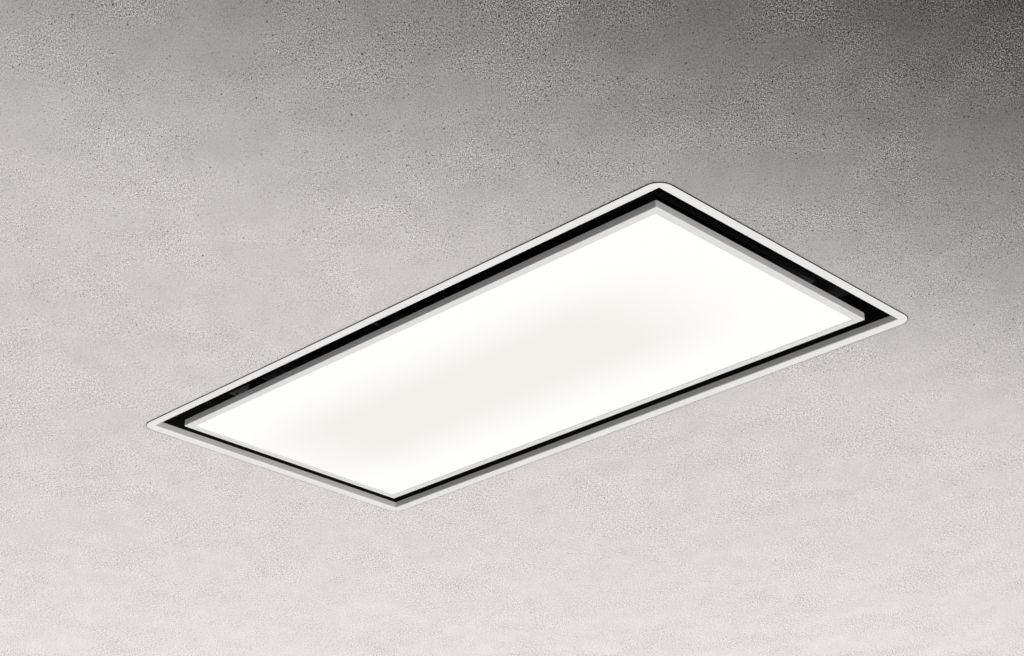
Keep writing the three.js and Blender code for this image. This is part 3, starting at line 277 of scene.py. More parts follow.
def plaster():
    """Skimmed ceiling: grain and pits with painted shade for their relief, rough patches, a painted shadow
    round the trim and a painted falling light.
    """
    made = Finish("ceiling_plaster", Roughness=0.9, Specular_IOR_Level=0.2)
    x, y = made.axis("X"), made.axis("Y")
    across = made.math("SUBTRACT", y, x)
    # Painted light: the ceiling's colour is brighter towards -X and +Y, and darker past FALL_START where the
    # light falls off.
    slope = made.math("MULTIPLY", across, CEILING_SLOPE)
    toward_x = made.math("MULTIPLY", x, FALL_TOWARD[0])
    toward = made.math("ADD", toward_x, made.math("MULTIPLY", y, FALL_TOWARD[1]))
    past = made.math("MAXIMUM", made.math("SUBTRACT", toward, FALL_START), 0.0)
    fall = made.math("MULTIPLY", made.math("POWER", past, FALL_CURVE), FALL_DEPTH)
    level = made.math("SUBTRACT", made.math("ADD", slope, CEILING_TONE), fall)
    drawn = drawn_out(made, x, y)
    # The grain in the colour is painted shade of the plaster's relief, stronger in rough patches and where the
    # light rakes.
    fine = made.math("SUBTRACT", made.noise(GRAIN, detail=2, roughness=0.8, at=drawn), 0.5)
    coarse = made.math("SUBTRACT", made.noise(COARSE, detail=2, roughness=0.8, at=drawn), 0.5)
    fine_grain = made.math("MULTIPLY", fine, made.span(across, *GRAIN_REACH, *FINE_DEPTH))
    coarse_grain = made.math("MULTIPLY", coarse, made.span(across, *GRAIN_REACH, *COARSE_DEPTH))
    grain = made.math("ADD", fine_grain, coarse_grain)
    # Painted shade in the plaster's pits.
    pits = made.span(made.noise(PITS, detail=2, at=drawn), *PIT_LEVELS, 0.0, PIT_DEPTH)
    patches = made.noise(PATCHES, detail=5, roughness=0.65)
    rough = made.span(patches, *PATCH_LEVELS, *ROUGH_PATCH_SHADE)
    rough = made.math("MULTIPLY", rough, made.span(fall, *RELIEF_SHADE_BY_FALL))
    painted_relief_shade = made.math("MULTIPLY", made.math("SUBTRACT", grain, pits), rough)
    clouds = made.noise(CLOUDS, detail=5, stretch=(1, 1.8, 1))
    clouds = made.span(clouds, 0.3, 0.7, -CLOUD_DEPTH, CLOUD_DEPTH)
    mottle = made.noise(MOTTLE, detail=5, roughness=0.65, at=drawn)
    mottle = made.span(mottle, 0.0, 1.0, -MOTTLE_DEPTH, MOTTLE_DEPTH)
    tone = made.math("ADD", made.math("ADD", level, clouds), made.math("ADD", mottle, painted_relief_shade))
    # Painted shadow round the trim.
    tone = made.math("SUBTRACT", tone, trim_shadow(made, x, y))
    share = made.math("POWER", made.math("MAXIMUM", tone, DARKEST), SCREEN_CURVE)
    made.colour(made.mixed(share, (0, 0, 0, 1), CEILING_COLOUR))
    made.relief(fine, GRAIN_RELIEF)
    return made


CEILING_TONE = 0.816  # as it looks on a screen, from 0 to 1
SCREEN_CURVE = 2.2
CEILING_SLOPE = 0.0478  # painted light: brighter towards -X and +Y, per metre
FALL_TOWARD = (0.96, -0.281)  # the light falls off this way, from FALL_START on
FALL_START = 0.195
FALL_CURVE = 1.42
FALL_DEPTH = 0.598
DARKEST = 0.16
CEILING_COLOUR = (1.0, 0.95, 0.945, 1)
DRAWN_OUT = 0.5  # the trowel draws the grain out across the ceiling
GRAIN_REACH = (-0.7, 1.9)  # the grain and its painted shade are coarser towards -X and +Y
GRAIN = 600  # this and COARSE, PITS, PATCHES, CLOUDS and MOTTLE are scales, per metre
GRAIN_RELIEF = 0.0004
FINE_DEPTH = (0.85, 1.4)
COARSE = 250
COARSE_DEPTH = (0.2, 0.85)
PITS = 260
PIT_LEVELS = (0.36, 0.27)
PIT_DEPTH = 0.4
PATCHES = 6
PATCH_LEVELS = (0.4, 0.66)
# how strong the painted relief shade is, from smooth to rough patches
ROUGH_PATCH_SHADE = (0.45, 1.9)
RELIEF_SHADE_BY_FALL = (0.1, 0.28, 0.95, 1.35)  # the painted relief shade is stronger where the light rakes
CLOUDS = 7
CLOUD_DEPTH = 0.012
MOTTLE = 20
MOTTLE_DEPTH = 0.05
TRIM_HALF = [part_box("trim_frame")[1].x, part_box("trim_frame")[1].y]
TRIM_CORNER = 0.020
CONTACT_SHADOW = (0.0005, 0.0014, 0.36)  # painted contact shadow: from the trim, where it starts to fade and ends, and how dark it is
# painted shadow that the trim casts on its far sides, shifted away from the light
CAST_SHADOW = (0.0, 0.006, 0.125)
SHADOW_SHIFT = 0.002


def pale_board():
    """The upper side of the ceiling board."""
    made = Finish("ceiling_board_back", Roughness=0.85)
    made.colour(made.mixed(made.noise(12, detail=4), paint("dcdad6"), paint("e6e4e0")))
    made.relief(made.noise(300, detail=3), 0.0002)
    return made


finish_of_slot = {
    "white_paint": powder_coat("white_paint", "efeeec", "eceae7", rough=(0.36, 0.46)),
    "black_paint": powder_coat(
        "black_paint", "0a0a09", "100f0f", (0.5, 0.66), grain=1200, depth=0.00005, Specular_IOR_Level=0.35
    ),
    "zinc_sheet": zinc(),
    "steel": brushed("steel", "8d9092", "a3a6a8", rough=(0.28, 0.42), stretch=(1, 14, 1)),
    # Partly painted shade: the filter frames' aluminium is a little darker than bare metal, for the shade they
    # sit in behind the gap.
    "filter_aluminium": brushed(
        "filter_aluminium", "929597", "a1a4a6", rough=(0.36, 0.5), stretch=(12, 1, 1)
    ),
    "filter_mesh": brushed(
        "filter_mesh_metal", "b0b3b5", "c6c8ca", rough=(0.32, 0.48), stretch=(2, 1, 1), scale=500
    ),
    "strip_aluminium": brushed(
        "strip_aluminium", "c9cbcd", "dadbdc", rough=(0.3, 0.42), stretch=(12, 1, 1)
    ),
    "opal_acrylic": opal(),
    "clear_acrylic": moulded(
        "clear_acrylic", "e9eef0", "dfe7ea", rough=(0.06, 0.12), grain=300, depth=0.00001, IOR=1.49,
        Transmission_Weight=0.9,
    ),
    "reflector_film": moulded("reflector_film", "f4f4f2", "efefec", rough=(0.5, 0.62)),
    "fan_plastic": moulded("fan_plastic", "2b2d30", "34363a", rough=(0.42, 0.56)),
    "housing_plastic": moulded("housing_plastic", "36383b", "3f4144", rough=(0.44, 0.6)),
    "pale_plastic": moulded("pale_plastic", "c6c8c5", "bcbeba", rough=(0.42, 0.56)),
    "rubber": moulded("rubber", "161616", "1f1f1f", rough=(0.78, 0.9), grain=900, depth=0.00006),
    "magnet_black": moulded("magnet_black", "1a1a1b", "232324", rough=(0.4, 0.52)),
    "circuit_board": board(),
    "lead_jacket": moulded(
        "lead_jacket", "0c0c0d", "131315", (0.68, 0.82), grain=700, depth=0.00005, Specular_IOR_Level=0.2
    ),
    "motor_steel": powder_coat(
        "motor_steel", "5b5f63", "666a6e", rough=(0.36, 0.5), grain=1000, depth=0.00004
    ),
}
# Finishes that differ from the one their slot names
panel_white = powder_coat("panel_white_paint", "e6e5e3", "e2e0dd", rough=(0.38, 0.48))
# Painted light: a lighter copy of the black paint, so the back of the panel shows in dim light; its lower
# roughness gives a satin sheen.
lit_satin_black = powder_coat(
    "lit_satin_black_paint", "1c1c1d", "242425", rough=(0.3, 0.42), grain=1200, depth=0.00005
)
# Painted shade: the catches in the gap behind the trim are near black, darker than their own steel, paint and
# magnet, for the shade they sit in.
gap_shade_black = moulded("painted_gap_shade", "060606", "0a0a0a", rough=(0.6, 0.75), Specular_IOR_Level=0.2)
black_screw = powder_coat("black_screw", "101011", "19191a", rough=(0.35, 0.5))


# --------------------------------------------------------------------
# Pieces


def piece(name, mesh, slot, body, *replaced, finish=None):
    """Shows a mesh as a piece that rides on a body, stands for CAD nodes and takes a slot's finish."""
    for polygon in mesh.polygons:
        polygon.use_smooth = True
    mesh.set_sharp_from_angle(angle=SHARP)
    mesh.materials.clear()
    mesh.materials.append((finish or finish_of_slot[slot]).material)
    made = bpy.data.objects.new(name, mesh)
    made.modifiers.new("flat_faces", "WEIGHTED_NORMAL").keep_sharp = True
    bpy.context.scene.collection.objects.link(made)
    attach(made, body)
    if replaced:
        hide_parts(*replaced)
    return made


def mesh_of(shape, name):
    """A mesh from a bmesh, with its faces turned outwards."""
    bmesh.ops.recalc_face_normals(shape, faces=shape.faces)
    mesh = bpy.data.meshes.new(name)
    shape.to_mesh(mesh)
    shape.free()
    return mesh


def whole_faces(node):
    """A CAD node's mesh with its split corners joined and its flat faces whole again."""
    shape = bmesh.new()
    shape.from_mesh(frame["nodes"][node].data)
    bmesh.ops.remove_doubles(shape, verts=shape.verts, dist=SAME_PLACE)
    bmesh.ops.dissolve_limit(shape, angle_limit=FLAT, verts=shape.verts, edges=shape.edges)
    return shape


def rounded(shape, width, segments=2):
    """Rounds every real edge of a bmesh."""
    edges = [e for e in shape.edges if e.is_manifold and e.calc_face_angle(0) > SHARP]
    shaping = {"segments": segments, "profile": 0.5, "affect": "EDGES", "clamp_overlap": True}
    bmesh.ops.bevel(shape, geom=edges, offset=width, **shaping)
    return shape


def refined(node, slot, width=0.3 * MM, segments=2, finish=None):
    """A CAD node shown by a copy with rounded edges."""
    shape = whole_faces(node)
    if width:
        rounded(shape, width, segments)
    return piece(node + "_shown", mesh_of(shape, node), slot, body_of[node], node, finish=finish)


def loop(half_x, half_y, radius, z, steps=12):
    """Points of a rounded rectangle, anticlockwise from the +X side."""
    points = []
    for sx, sy, start in ((1, 1, 0), (-1, 1, 90), (-1, -1, 180), (1, -1, 270)):
        for i in range(steps + 1):
            turn = math.radians(start + 90 * i / steps)
            x = sx * (half_x - radius) + radius * math.cos(turn)
            y = sy * (half_y - radius) + radius * math.sin(turn)
            points.append((x, y, z))
    return points


def arc(start, end, steps):
    """Angles in radians from start to end, which are in degrees."""
    return [math.radians(start + (end - start) * i / steps) for i in range(steps + 1)]


def skin(shape, loops, closed=False):
    """Faces between each loop of points and the next. The ends are joined if closed, and else capped."""
    rings = [[shape.verts.new(p) for p in points] for points in loops]
    pairs = list(zip(rings, rings[1:])) + ([(rings[-1], rings[0])] if closed else [])
    for near, far in pairs:
        count = len(near)
        for i in range(count):
            j = (i + 1) % count
            shape.faces.new((near[i], near[j], far[j], far[i]))
    if not closed:
        shape.faces.new(rings[0])
        shape.faces.new(rings[-1])


def turned_shape(profile, steps=64, closed=True, turn=None):
    """A bmesh of a profile of radius and height about the Z axis, then moved by a matrix."""
    shape = bmesh.new()
    loops = []
    for radius, z in profile:
        angles = [2 * math.pi * i / steps for i in range(steps)]
        loops.append([(radius * math.cos(a), radius * math.sin(a), z) for a in angles])
    skin(shape, loops, closed)
    if turn:
        bmesh.ops.transform(shape, matrix=turn, verts=shape.verts)
    return shape


# --------------------------------------------------------------------
# Camera, light and ceiling


CAMERA_PLACE = Vector((1.68226, -1.67335, -1.09694))
CAMERA_AIM = Vector((-0.6330, 0.6354, 0.44223))
CAMERA_ROLL = math.radians(0.092)
CAMERA_LENS = 66.63

camera_data = bpy.data.cameras.new("camera")
camera_data.lens = CAMERA_LENS
camera_data.sensor_width = 36  # millimetres, as the lens is
camera = bpy.data.objects.new("camera", camera_data)
bpy.context.scene.collection.objects.link(camera)
camera.location = CAMERA_PLACE
camera.rotation_mode = "QUATERNION"
camera.rotation_quaternion = CAMERA_AIM.to_track_quat("-Z", "Y") @ Quaternion((0, 0, 1), CAMERA_ROLL)
bpy.context.scene.camera = camera
bpy.context.scene.view_settings.view_transform = "Standard"


def sun(name, toward, strength, spread):
    """A soft light from the direction given, which need not be of length one."""
    data = bpy.data.lights.new(name, "SUN")
    data.energy = strength
    data.angle = math.radians(spread)
    made = bpy.data.objects.new(name, data)
    made.rotation_mode = "QUATERNION"
    made.rotation_quaternion = Vector(toward).to_track_quat("Z", "Y")
    bpy.context.scene.collection.objects.link(made)


sun("light_from_below", toward=(0.31, -0.06, -0.72), strength=2.64, spread=28)
sun("light_from_above", toward=(0.35, -0.30, 1.0), strength=1.35, spread=35)

SKY_TURN = (-0.07, -0.025)  # heights of a direction between which the sky goes from dim to bright
SKY_STRENGTH = (0.25, 0.75)
SKY_COLOUR = (1.0, 0.995, 0.985, 1)

world = bpy.data.worlds.new("studio")
world.use_nodes = True
bpy.context.scene.world = world
background = world.node_tree.nodes["Background"]
direction = world.node_tree.nodes.new("ShaderNodeTexCoord").outputs["Generated"]
split = world.node_tree.nodes.new("ShaderNodeSeparateXYZ")
rise = world.node_tree.nodes.new("ShaderNodeMapRange")
world.node_tree.links.new(direction, split.inputs[0])
world.node_tree.links.new(split.outputs["Z"], rise.inputs["Value"])
for socket, value in zip(rise.inputs[1:5], (*SKY_TURN, *SKY_STRENGTH)):
    socket.default_value = value
background.inputs["Color"].default_value = SKY_COLOUR
world.node_tree.links.new(rise.outputs["Result"], background.inputs["Strength"])

CEILING_REACH = 8.0
BOARD = 0.0125  # height of the board's upper side
FACE = 0.0002  # height of its lower side, just clear of the trim
CUT_MARGIN = 0.004  # cut-out outside the casing
CUT_CORNER = 0.0001

casing_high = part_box("plenum_casing")[1]
cut_x = casing_high.x + CUT_MARGIN
cut_y = casing_high.y + CUT_MARGIN
ceiling = bmesh.new()
ceiling_loops = []
for reach_x, reach_y, level in (
    (CEILING_REACH, CEILING_REACH, BOARD),
    (cut_x, cut_y, BOARD),
    (cut_x, cut_y, FACE),
    (CEILING_REACH, CEILING_REACH, FACE),
):
    ceiling_loops.append(loop(reach_x, reach_y, CUT_CORNER, level, steps=1))
skin(ceiling, ceiling_loops, closed=True)
ceiling_mesh = mesh_of(ceiling, "ceiling")
ceiling_mesh.materials.append(plaster().material)
ceiling_mesh.materials.append(pale_board().material)
for polygon in ceiling_mesh.polygons:
    polygon.material_index = 1 if polygon.center.z > BOARD / 4 else 0
ceiling_object = bpy.data.objects.new("ceiling", ceiling_mesh)
bpy.context.scene.collection.objects.link(ceiling_object)


# --------------------------------------------------------------------
# Trim: flange and upstand folded from one sheet


def trim_frame():
    low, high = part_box("trim_frame")
    sheet, flange = 1.2 * MM, 14 * MM
    fold, rim = 2 * MM, 0.15 * MM  # radii of the section's edges
    undercut, undercut_z = 1.0 * MM, -0.85 * MM
    corner, sharp = 20 * MM, 0.05 * MM
    inner_x = high.x - flange
    inner_y = high.y - flange
    section = [(fold + fold * math.cos(a), low.z + fold + fold * math.sin(a)) for a in arc(180, 270, 12)]
    section += [(flange - rim + rim * math.cos(a), low.z + rim + rim * math.sin(a)) for a in arc(-90, 0, 4)]
    section += [(flange, undercut_z), (flange - undercut, 0), (sheet, 0), (sheet, high.z), (0, high.z)]
    loops = []
    for offset, z in section:
        radius = corner - (flange - offset) if offset > flange / 2 else sharp
        loops.append(loop(inner_x + offset, inner_y + offset, radius, z, steps=16))
    shape = bmesh.new()
    skin(shape, loops, closed=True)
    piece("trim_flange", mesh_of(shape, "trim_flange"), "white_paint", "root", "trim_frame")


# --------------------------------------------------------------------
# Light panel


def panel_frame():
    low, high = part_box("panel_frame")
    wall, border, face = 2 * MM, 11 * MM, 2 * MM
    edge, back_edge, lip_edge = 1.1 * MM, 0.35 * MM, 0.5 * MM
    corner, least_corner, inner_corner = 1.8 * MM, 0.1 * MM, 0.8 * MM
    section = [(edge * (1 - math.sin(a)), low.z + edge * (1 - math.cos(a))) for a in arc(0, 90, 6)]
    section += [(0, high.z - back_edge), (back_edge, high.z), (wall, high.z)]
    section += [(wall, low.z + face), (border, low.z + face)]
    section += [(border, low.z + lip_edge), (border - lip_edge, low.z)]
    loops = []
    for inset, z in section:
        radius = max(corner - inset, least_corner)
        if inset >= border - edge:
            radius = inner_corner + inset - border + edge
        loops.append(loop(high.x - inset, high.y - inset, radius, z, steps=8))
    shape = bmesh.new()
    skin(shape, loops, closed=True)
    mesh = mesh_of(shape, "panel_frame")
    piece("panel_frame_folded", mesh, "white_paint", "light_panel", "panel_frame", finish=panel_white)


def diffuser():
    low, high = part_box("diffuser")
    frame_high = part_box("panel_frame")[1]
    border, gap, lip, sunk = 11 * MM, 0.7 * MM, 2.3 * MM, 0.4 * MM
    edge, corner = 0.6 * MM, 0.9 * MM
    face_x = frame_high.x - border - gap
    face_y = frame_high.y - border - gap
    section = []
    for a in arc(0, 90, 5):
        inset = edge * (1 - math.sin(a))
        section.append((face_x - inset, face_y - inset, low.z + sunk + edge * (1 - math.cos(a))))
    section += [(face_x, face_y, low.z + lip), (high.x, high.y, low.z + lip), (high.x, high.y, high.z)]
    loops = [loop(x, y, corner, z, steps=6) for x, y, z in section]
    shape = bmesh.new()
    skin(shape, loops)
    piece("diffuser_plate", mesh_of(shape, "diffuser"), "opal_acrylic", "light_panel", "diffuser")


# --------------------------------------------------------------------
# Small parts that repeat


def merge(shape, other):
    """Adds one bmesh to another, and frees the other."""
    mesh = bpy.data.meshes.new("part")
    other.to_mesh(mesh)
    other.free()
    shape.from_mesh(mesh)
    bpy.data.meshes.remove(mesh)
    return shape


def facing(place, along, spin=0.0):
    """A matrix that stands the Z axis along a direction at a place."""
    turn = Vector(along).to_track_quat("Z", "Y").to_matrix().to_4x4()
    return Matrix.Translation(place) @ turn @ Matrix.Rotation(spin, 4, "Z")


def block(low, high, width=0.0, segments=2):
    """A bmesh box between two corners, its edges rounded by width."""
    shape = bmesh.new()
    middle = (Vector(low) + Vector(high)) / 2
    sides = Vector(high) - Vector(low)
    bmesh.ops.create_cube(shape, size=1, matrix=Matrix.Translation(middle) @ Matrix.Diagonal((*sides, 1)))
    if width:
        rounded(shape, width, segments)
    return shape


def carved(shape, cutter, operation="DIFFERENCE"):
    """One bmesh less another, or joined with it."""
    whole, tool = [bpy.data.objects.new("carving", mesh_of(s, "carving")) for s in (shape, cutter)]
    for made in (whole, tool):
        bpy.context.scene.collection.objects.link(made)
    modifier = whole.modifiers.new("carve", "BOOLEAN")
    modifier.operation = operation
    modifier.object = tool
    modifier.solver = "EXACT"
    bpy.context.view_layer.update()
    result = bmesh.new()
    result.from_object(whole, bpy.context.evaluated_depsgraph_get())
    for made in (whole, tool):
        bpy.data.objects.remove(made)
    return result


def capsule(start, end, radius, rise, normal):
    """A pressed bead from start to end: round-ended, and rise high along the normal."""
    start, end, normal = Vector(start), Vector(end), Vector(normal)
    span = (end - start).length
    along = (end - start).normalized()
    profile = [(radius * math.cos(a), radius * math.sin(a)) for a in arc(-89.5, 0, 6)]
    profile += [(radius * math.cos(a), span + radius * math.sin(a)) for a in arc(0, 89.5, 6)]
    side = normal.cross(along)
    place = Matrix.Identity(4)
    for column, axis in enumerate((side, normal * (rise / radius), along)):
        place.col[column] = (*axis, 0)
    place.col[3] = (*start, 1)
    return turned_shape(profile, 20, closed=False, turn=place)


def screw_head():
    """A pan head of radius 1 with a cross recess, standing on z = 0."""
    profile = [(1, 0), (1, 0.3), (0.93, 0.48), (0.75, 0.6), (0.45, 0.68), (0.1, 0.7)]
    head = turned_shape(profile, 24, closed=False)
    cross = block((-0.55, -0.13, 0.35), (0.55, 0.13, 1))
    cross = carved(cross, block((-0.13, -0.55, 0.34), (0.13, 0.55, 1.01)), "UNION")
    made = carved(head, cross)
    return mesh_of(made, "screw_head")


def rivet_head():
    """A dome of radius 1 with the hole of its drawn pin."""
    profile = [(1, 0), (0.97, 0.15), (0.8, 0.36), (0.55, 0.48), (0.34, 0.5), (0.3, 0.3), (0.05, 0.28)]
    return mesh_of(turned_shape(profile, 20, closed=False), "rivet_head")


def heads(name, kind, places, along, body, radius, slot="steel", finish=None):
    """Screw or rivet heads at some places, facing one way, as one piece."""
    shape = bmesh.new()
    for place in places:
        head = bmesh.new()
        head.from_mesh(kind)
        scale = Matrix.Scale(radius, 4)
        spin = random.uniform(0, math.pi)
        bmesh.ops.transform(head, matrix=facing(place, along, spin) @ scale, verts=head.verts)
        merge(shape, head)
    return piece(name, mesh_of(shape, name), slot, body, finish=finish)


def pressed(shape, beads):
    """Presses a bead outwards for each start, end and normal."""
    for start, end, normal in beads:
        merge(shape, capsule(start, end, BEAD_RADIUS, BEAD_RISE, normal))


def tube(name, points, radius, bend, slot, body, node, sides=14):
    """A lead along straight stretches with rounded corners."""
    stops = [Vector(p) for p in points]
    path = [stops[0]]
    corner_steps = 8
    for before, here, after in zip(stops, stops[1:], stops[2:]):
        start = here + (before - here).normalized() * bend
        end = here + (after - here).normalized() * bend
        for i in range(corner_steps + 1):
            t = i / corner_steps
            path.append(start * (1 - t) ** 2 + here * (2 * t * (1 - t)) + end * t**2)
    path.append(stops[-1])
    shape = bmesh.new()
    loops = []
    side = None
    for i, here in enumerate(path):
        along = (path[min(i + 1, len(path) - 1)] - path[max(i - 1, 0)]).normalized()
        side = along.orthogonal() if side is None else side - along * side.dot(along)
        side.normalize()
        other = along.cross(side)
        turns = [2 * math.pi * k / sides for k in range(sides)]
        loops.append([here + (side * math.cos(a) + other * math.sin(a)) * radius for a in turns])
    skin(shape, loops)
    return piece(name, mesh_of(shape, name), slot, body, node)


SCREW = screw_head()
RIVET = rivet_head()
BEAD_RADIUS, BEAD_RISE = 5 * MM, 1.4 * MM  # the beads that stiffen the outer sheets
BEAD_ROOT = 0.2 * MM  # how far their ends lie below the sheet's face
UP, DOWN = (0, 0, 1), (0, 0, -1)
FRONT, BACK = (0, -1, 0), (0, 1, 0)
LEFT, RIGHT = (-1, 0, 0), (1, 0, 0)


# --------------------------------------------------------------------
# Liner, casing, carrier and hangers


def filter_carrier():
    for node in ("filter_carrier", "latch_keeper"):
        refined(node, "black_paint", width=0.35 * MM)
    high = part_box("filter_carrier")[1]
    sheet, inset = 1.2 * MM, 13 * MM
    under = high.z - sheet
    y = high.y - inset
    across = (-440, -345, -200, -60, 60, 200, 345, 440)
    places = [(x * MM, side * y, under) for x in across for side in (-1, 1)]
    places += [(side * (high.x - inset), y * MM, under) for y in (-150, 0, 150) for side in (-1, 1)]
    low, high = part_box("latch_keeper")
    inset = 6 * MM
    places += [(x * MM, low.y + inset, high.z - sheet) for x in (-215, -72, 72, 215)]
    heads("carrier_screws", SCREW, places, DOWN, "root", radius=3.2 * MM, finish=black_screw)


def inner_liner():
    refined("inner_liner", "black_paint", width=0.4 * MM)
    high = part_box("inner_liner")[1]
    wall, inset, radius = 1.2 * MM, 11 * MM, 2.2 * MM
    seam = bmesh.new()
    for sx in (-1, 1):
        for sy in (-1, 1):
            for z in (22 * MM, 38 * MM):
                head = bmesh.new()
                head.from_mesh(RIVET)
                spot = (sx * (high.x - wall), sy * (high.y - inset), z)
                place = facing(spot, (-sx, 0, 0)) @ Matrix.Scale(radius, 4)
                bmesh.ops.transform(head, matrix=place, verts=head.verts)
                merge(seam, head)
    piece("liner_rivets", mesh_of(seam, "liner_rivets"), "black_paint", "root")


def plenum_casing():
    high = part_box("plenum_casing")[1]
    shape = rounded(whole_faces("plenum_casing"), 0.45 * MM, segments=3)
    roof = high.z - BEAD_ROOT
    beads = [((x, -170 * MM, roof), (x, 170 * MM, roof), UP) for x in (272 * MM, 300 * MM, 328 * MM)]
    beads += [
        ((-470 * MM, y, roof), (-262 * MM, y, roof), UP)
        for y in (-150 * MM, -118 * MM, 118 * MM, 150 * MM)
    ]
    heights = (52 * MM, 84 * MM)
    half_side, half_end = 90 * MM, 130 * MM  # half the length of a bead
    for side in (-1, 1):
        y = side * (high.y - BEAD_ROOT)
        for x in (-0.33, -0.11, 0.11, 0.33):
            beads += [((x - half_side, y, z), (x + half_side, y, z), (0, side, 0)) for z in heights]
        x = side * (high.x - BEAD_ROOT)
        beads += [((x, -half_end, z), (x, half_end, z), (side, 0, 0)) for z in heights]
    pressed(shape, beads)
    tab, thin, inset = 14 * MM, 0.8 * MM, 0.6 * MM
    bottom, top = 15 * MM, high.z - 3 * MM
    for sx in (-1, 1):
        for sy in (-1, 1):
            x0, x1 = sorted((sx * (high.x - BEAD_ROOT), sx * (high.x + thin)))
            y0, y1 = sorted((sy * (high.y - tab), sy * (high.y - inset)))
            merge(shape, block((x0, y0, bottom), (x1, y1, top), 0.3 * MM))
    piece("plenum_box", mesh_of(shape, "plenum_box"), "zinc_sheet", "root", "plenum_casing")
    radius = 2.4 * MM
    for side, name in ((-1, "left"), (1, "right")):
        x = side * (high.x + thin)
        places = [(x, sy * (high.y - tab / 2), z * MM) for sy in (-1, 1) for z in (28, 66, 104)]
        heads("corner_rivets_" + name, RIVET, places, (side, 0, 0), "root", radius, "zinc_sheet")
    for side, name in ((-1, "front"), (1, "back")):
        places = [(x * MM, side * high.y, 22 * MM) for x in range(-420, 421, 120)]
        heads("casing_rivets_" + name, RIVET, places, (0, side, 0), "root", radius, "zinc_sheet")


def hangers():
    for i in range(1, 5):
        node = f"hanger_bracket_{i}"
        refined(node, "zinc_sheet", width=0.6 * MM, segments=3)
        low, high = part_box(node)
        x, y = (low.x + high.x) / 2, (low.y + high.y) / 2
        foot = low.z + 2.5 * MM
        reach_x, reach_y = (high.x - low.x) / 2 - 9 * MM, 11 * MM
        places = [(x + sx * reach_x, y + sy * reach_y, foot) for sx in (-1, 1) for sy in (-1, 1)]
        heads(f"hanger_rivets_{i}", RIVET, places, UP, "root", radius=2.8 * MM)


# --------------------------------------------------------------------
# Grease filters


PITCH_X, PITCH_Y = 16 * MM, 7 * MM  # of the diamonds in the expanded metal


def lattice(low, high, z, width, thick):
    """One layer of expanded metal: zigzag strands that meet at their bends."""
    shape = bmesh.new()
    rows = int((high.y - low.y) / PITCH_Y)
    steps = int((high.x - low.x) / PITCH_X) * 2
    step_x = (high.x - low.x) / steps
    step_y = (high.y - low.y) / rows
    near, far = 0.03, 0.97  # of a row, where its strand bends
    lean, thin = 0.35, 0.3  # of the thickness: how a strand tilts and how its edges narrow
    half, deep = width / 2, thick / 2
    for row in range(rows):
        loops = []
        for i in range(steps + 1):
            up = (i + row) % 2
            x = low.x + step_x * i
            y = low.y + step_y * (row + (far if up else near))
            middle = z + thick * (lean if up else -lean)
            loops.append([
                (x, y - half, middle - deep * thin),
                (x, y + half, middle - deep),
                (x, y + half, middle + deep * thin),
                (x, y - half, middle + deep),
            ])
        skin(shape, loops)
    return shape


def filters():
    strand, thick = 1.5 * MM, 0.8 * MM
    for label in ("left", "right"):
        frame_node = f"filter_frame_{label}"
        refined(frame_node, "filter_aluminium", width=0.35 * MM, segments=3)
        low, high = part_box(f"filter_mesh_{label}")
        shape = lattice(low, high, low.z + 0.75 * MM, strand, thick)
        merge(shape, lattice(low, high, low.z + 2.1 * MM, 1.3 * MM, 0.7 * MM))
        merge(shape, lattice(low, high, high.z - 0.75 * MM, strand, thick))
        bottom, top = low.z + 3 * MM, high.z - 1.6 * MM
        merge(shape, block((low.x, low.y, bottom), (high.x, high.y, top), 0.4 * MM))
        name = f"filter_layers_{label}"
        piece(name, mesh_of(shape, name), "filter_mesh", "root", f"filter_mesh_{label}")
        low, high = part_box(frame_node)
        corner = 8 * MM
        bottom = high.z - 9 * MM
        across, along = (low.x + corner, high.x - corner), (low.y + corner, high.y - corner)
        places = [(x, y, bottom) for x in across for y in along]
        heads(f"filter_rivets_{label}", RIVET, places, DOWN, "root", 2 * MM, "filter_aluminium")
        latch(label)


def latch(label):
    """A filter's latch, with three grip ribs across its thumb face."""
    node = f"filter_latch_{label}"
    shape = rounded(whole_faces(node), 0.6 * MM, segments=3)
    low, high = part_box(node)
    middle = (low.x + high.x) / 2
    reach, y = 10 * MM, low.y + 25.1 * MM
    for height in (2, 4.2, 6.4):
        z = low.z + height * MM
        merge(shape, capsule((middle - reach, y, z), (middle + reach, y, z), 0.7 * MM, 0.6 * MM, FRONT))
    piece(f"latch_{label}_shown", mesh_of(shape, node), "steel", f"latch_{label}", node)


# --------------------------------------------------------------------
# Back of the light panel, hinges, catches and contact


def panel_inside():
    shape = rounded(whole_faces("panel_back"), 0.5 * MM, segments=3)
    low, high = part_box("panel_back")
    sheet = low.z + 1.2 * MM
    mesh = mesh_of(shape, "panel_back")
    # The back of the panel takes the lighter, painted-light copy of the black paint.
    piece("panel_back_plate", mesh, "black_paint", "light_panel", "panel_back", finish=lit_satin_black)
    edge, clearance = 6 * MM, 0.3 * MM
    across = (-430, -360, -240, -180, -60, 60, 180, 240, 360, 430)
    places = [(x * MM, side * (high.y - edge), sheet) for x in across for side in (-1, 1)]
    places += [(side * (high.x - edge), y * MM, sheet) for y in (-120, 0, 120) for side in (-1, 1)]
    heads("panel_screws", SCREW, places, UP, "light_panel", radius=2.6 * MM)
    rib = (high.y + clearance) / 3
    places = [(x * MM, side * rib, high.z) for x in range(-360, 361, 120) for side in (-1, 1)]
    heads("stiffener_rivets", RIVET, places, UP, "light_panel", 2.4 * MM, "black_paint")
    refined("light_guide", "clear_acrylic")
    refined("reflector_sheet", "reflector_film", width=0.1 * MM)
    for node in ("light_strip_front", "light_strip_back"):
        refined(node, "strip_aluminium")


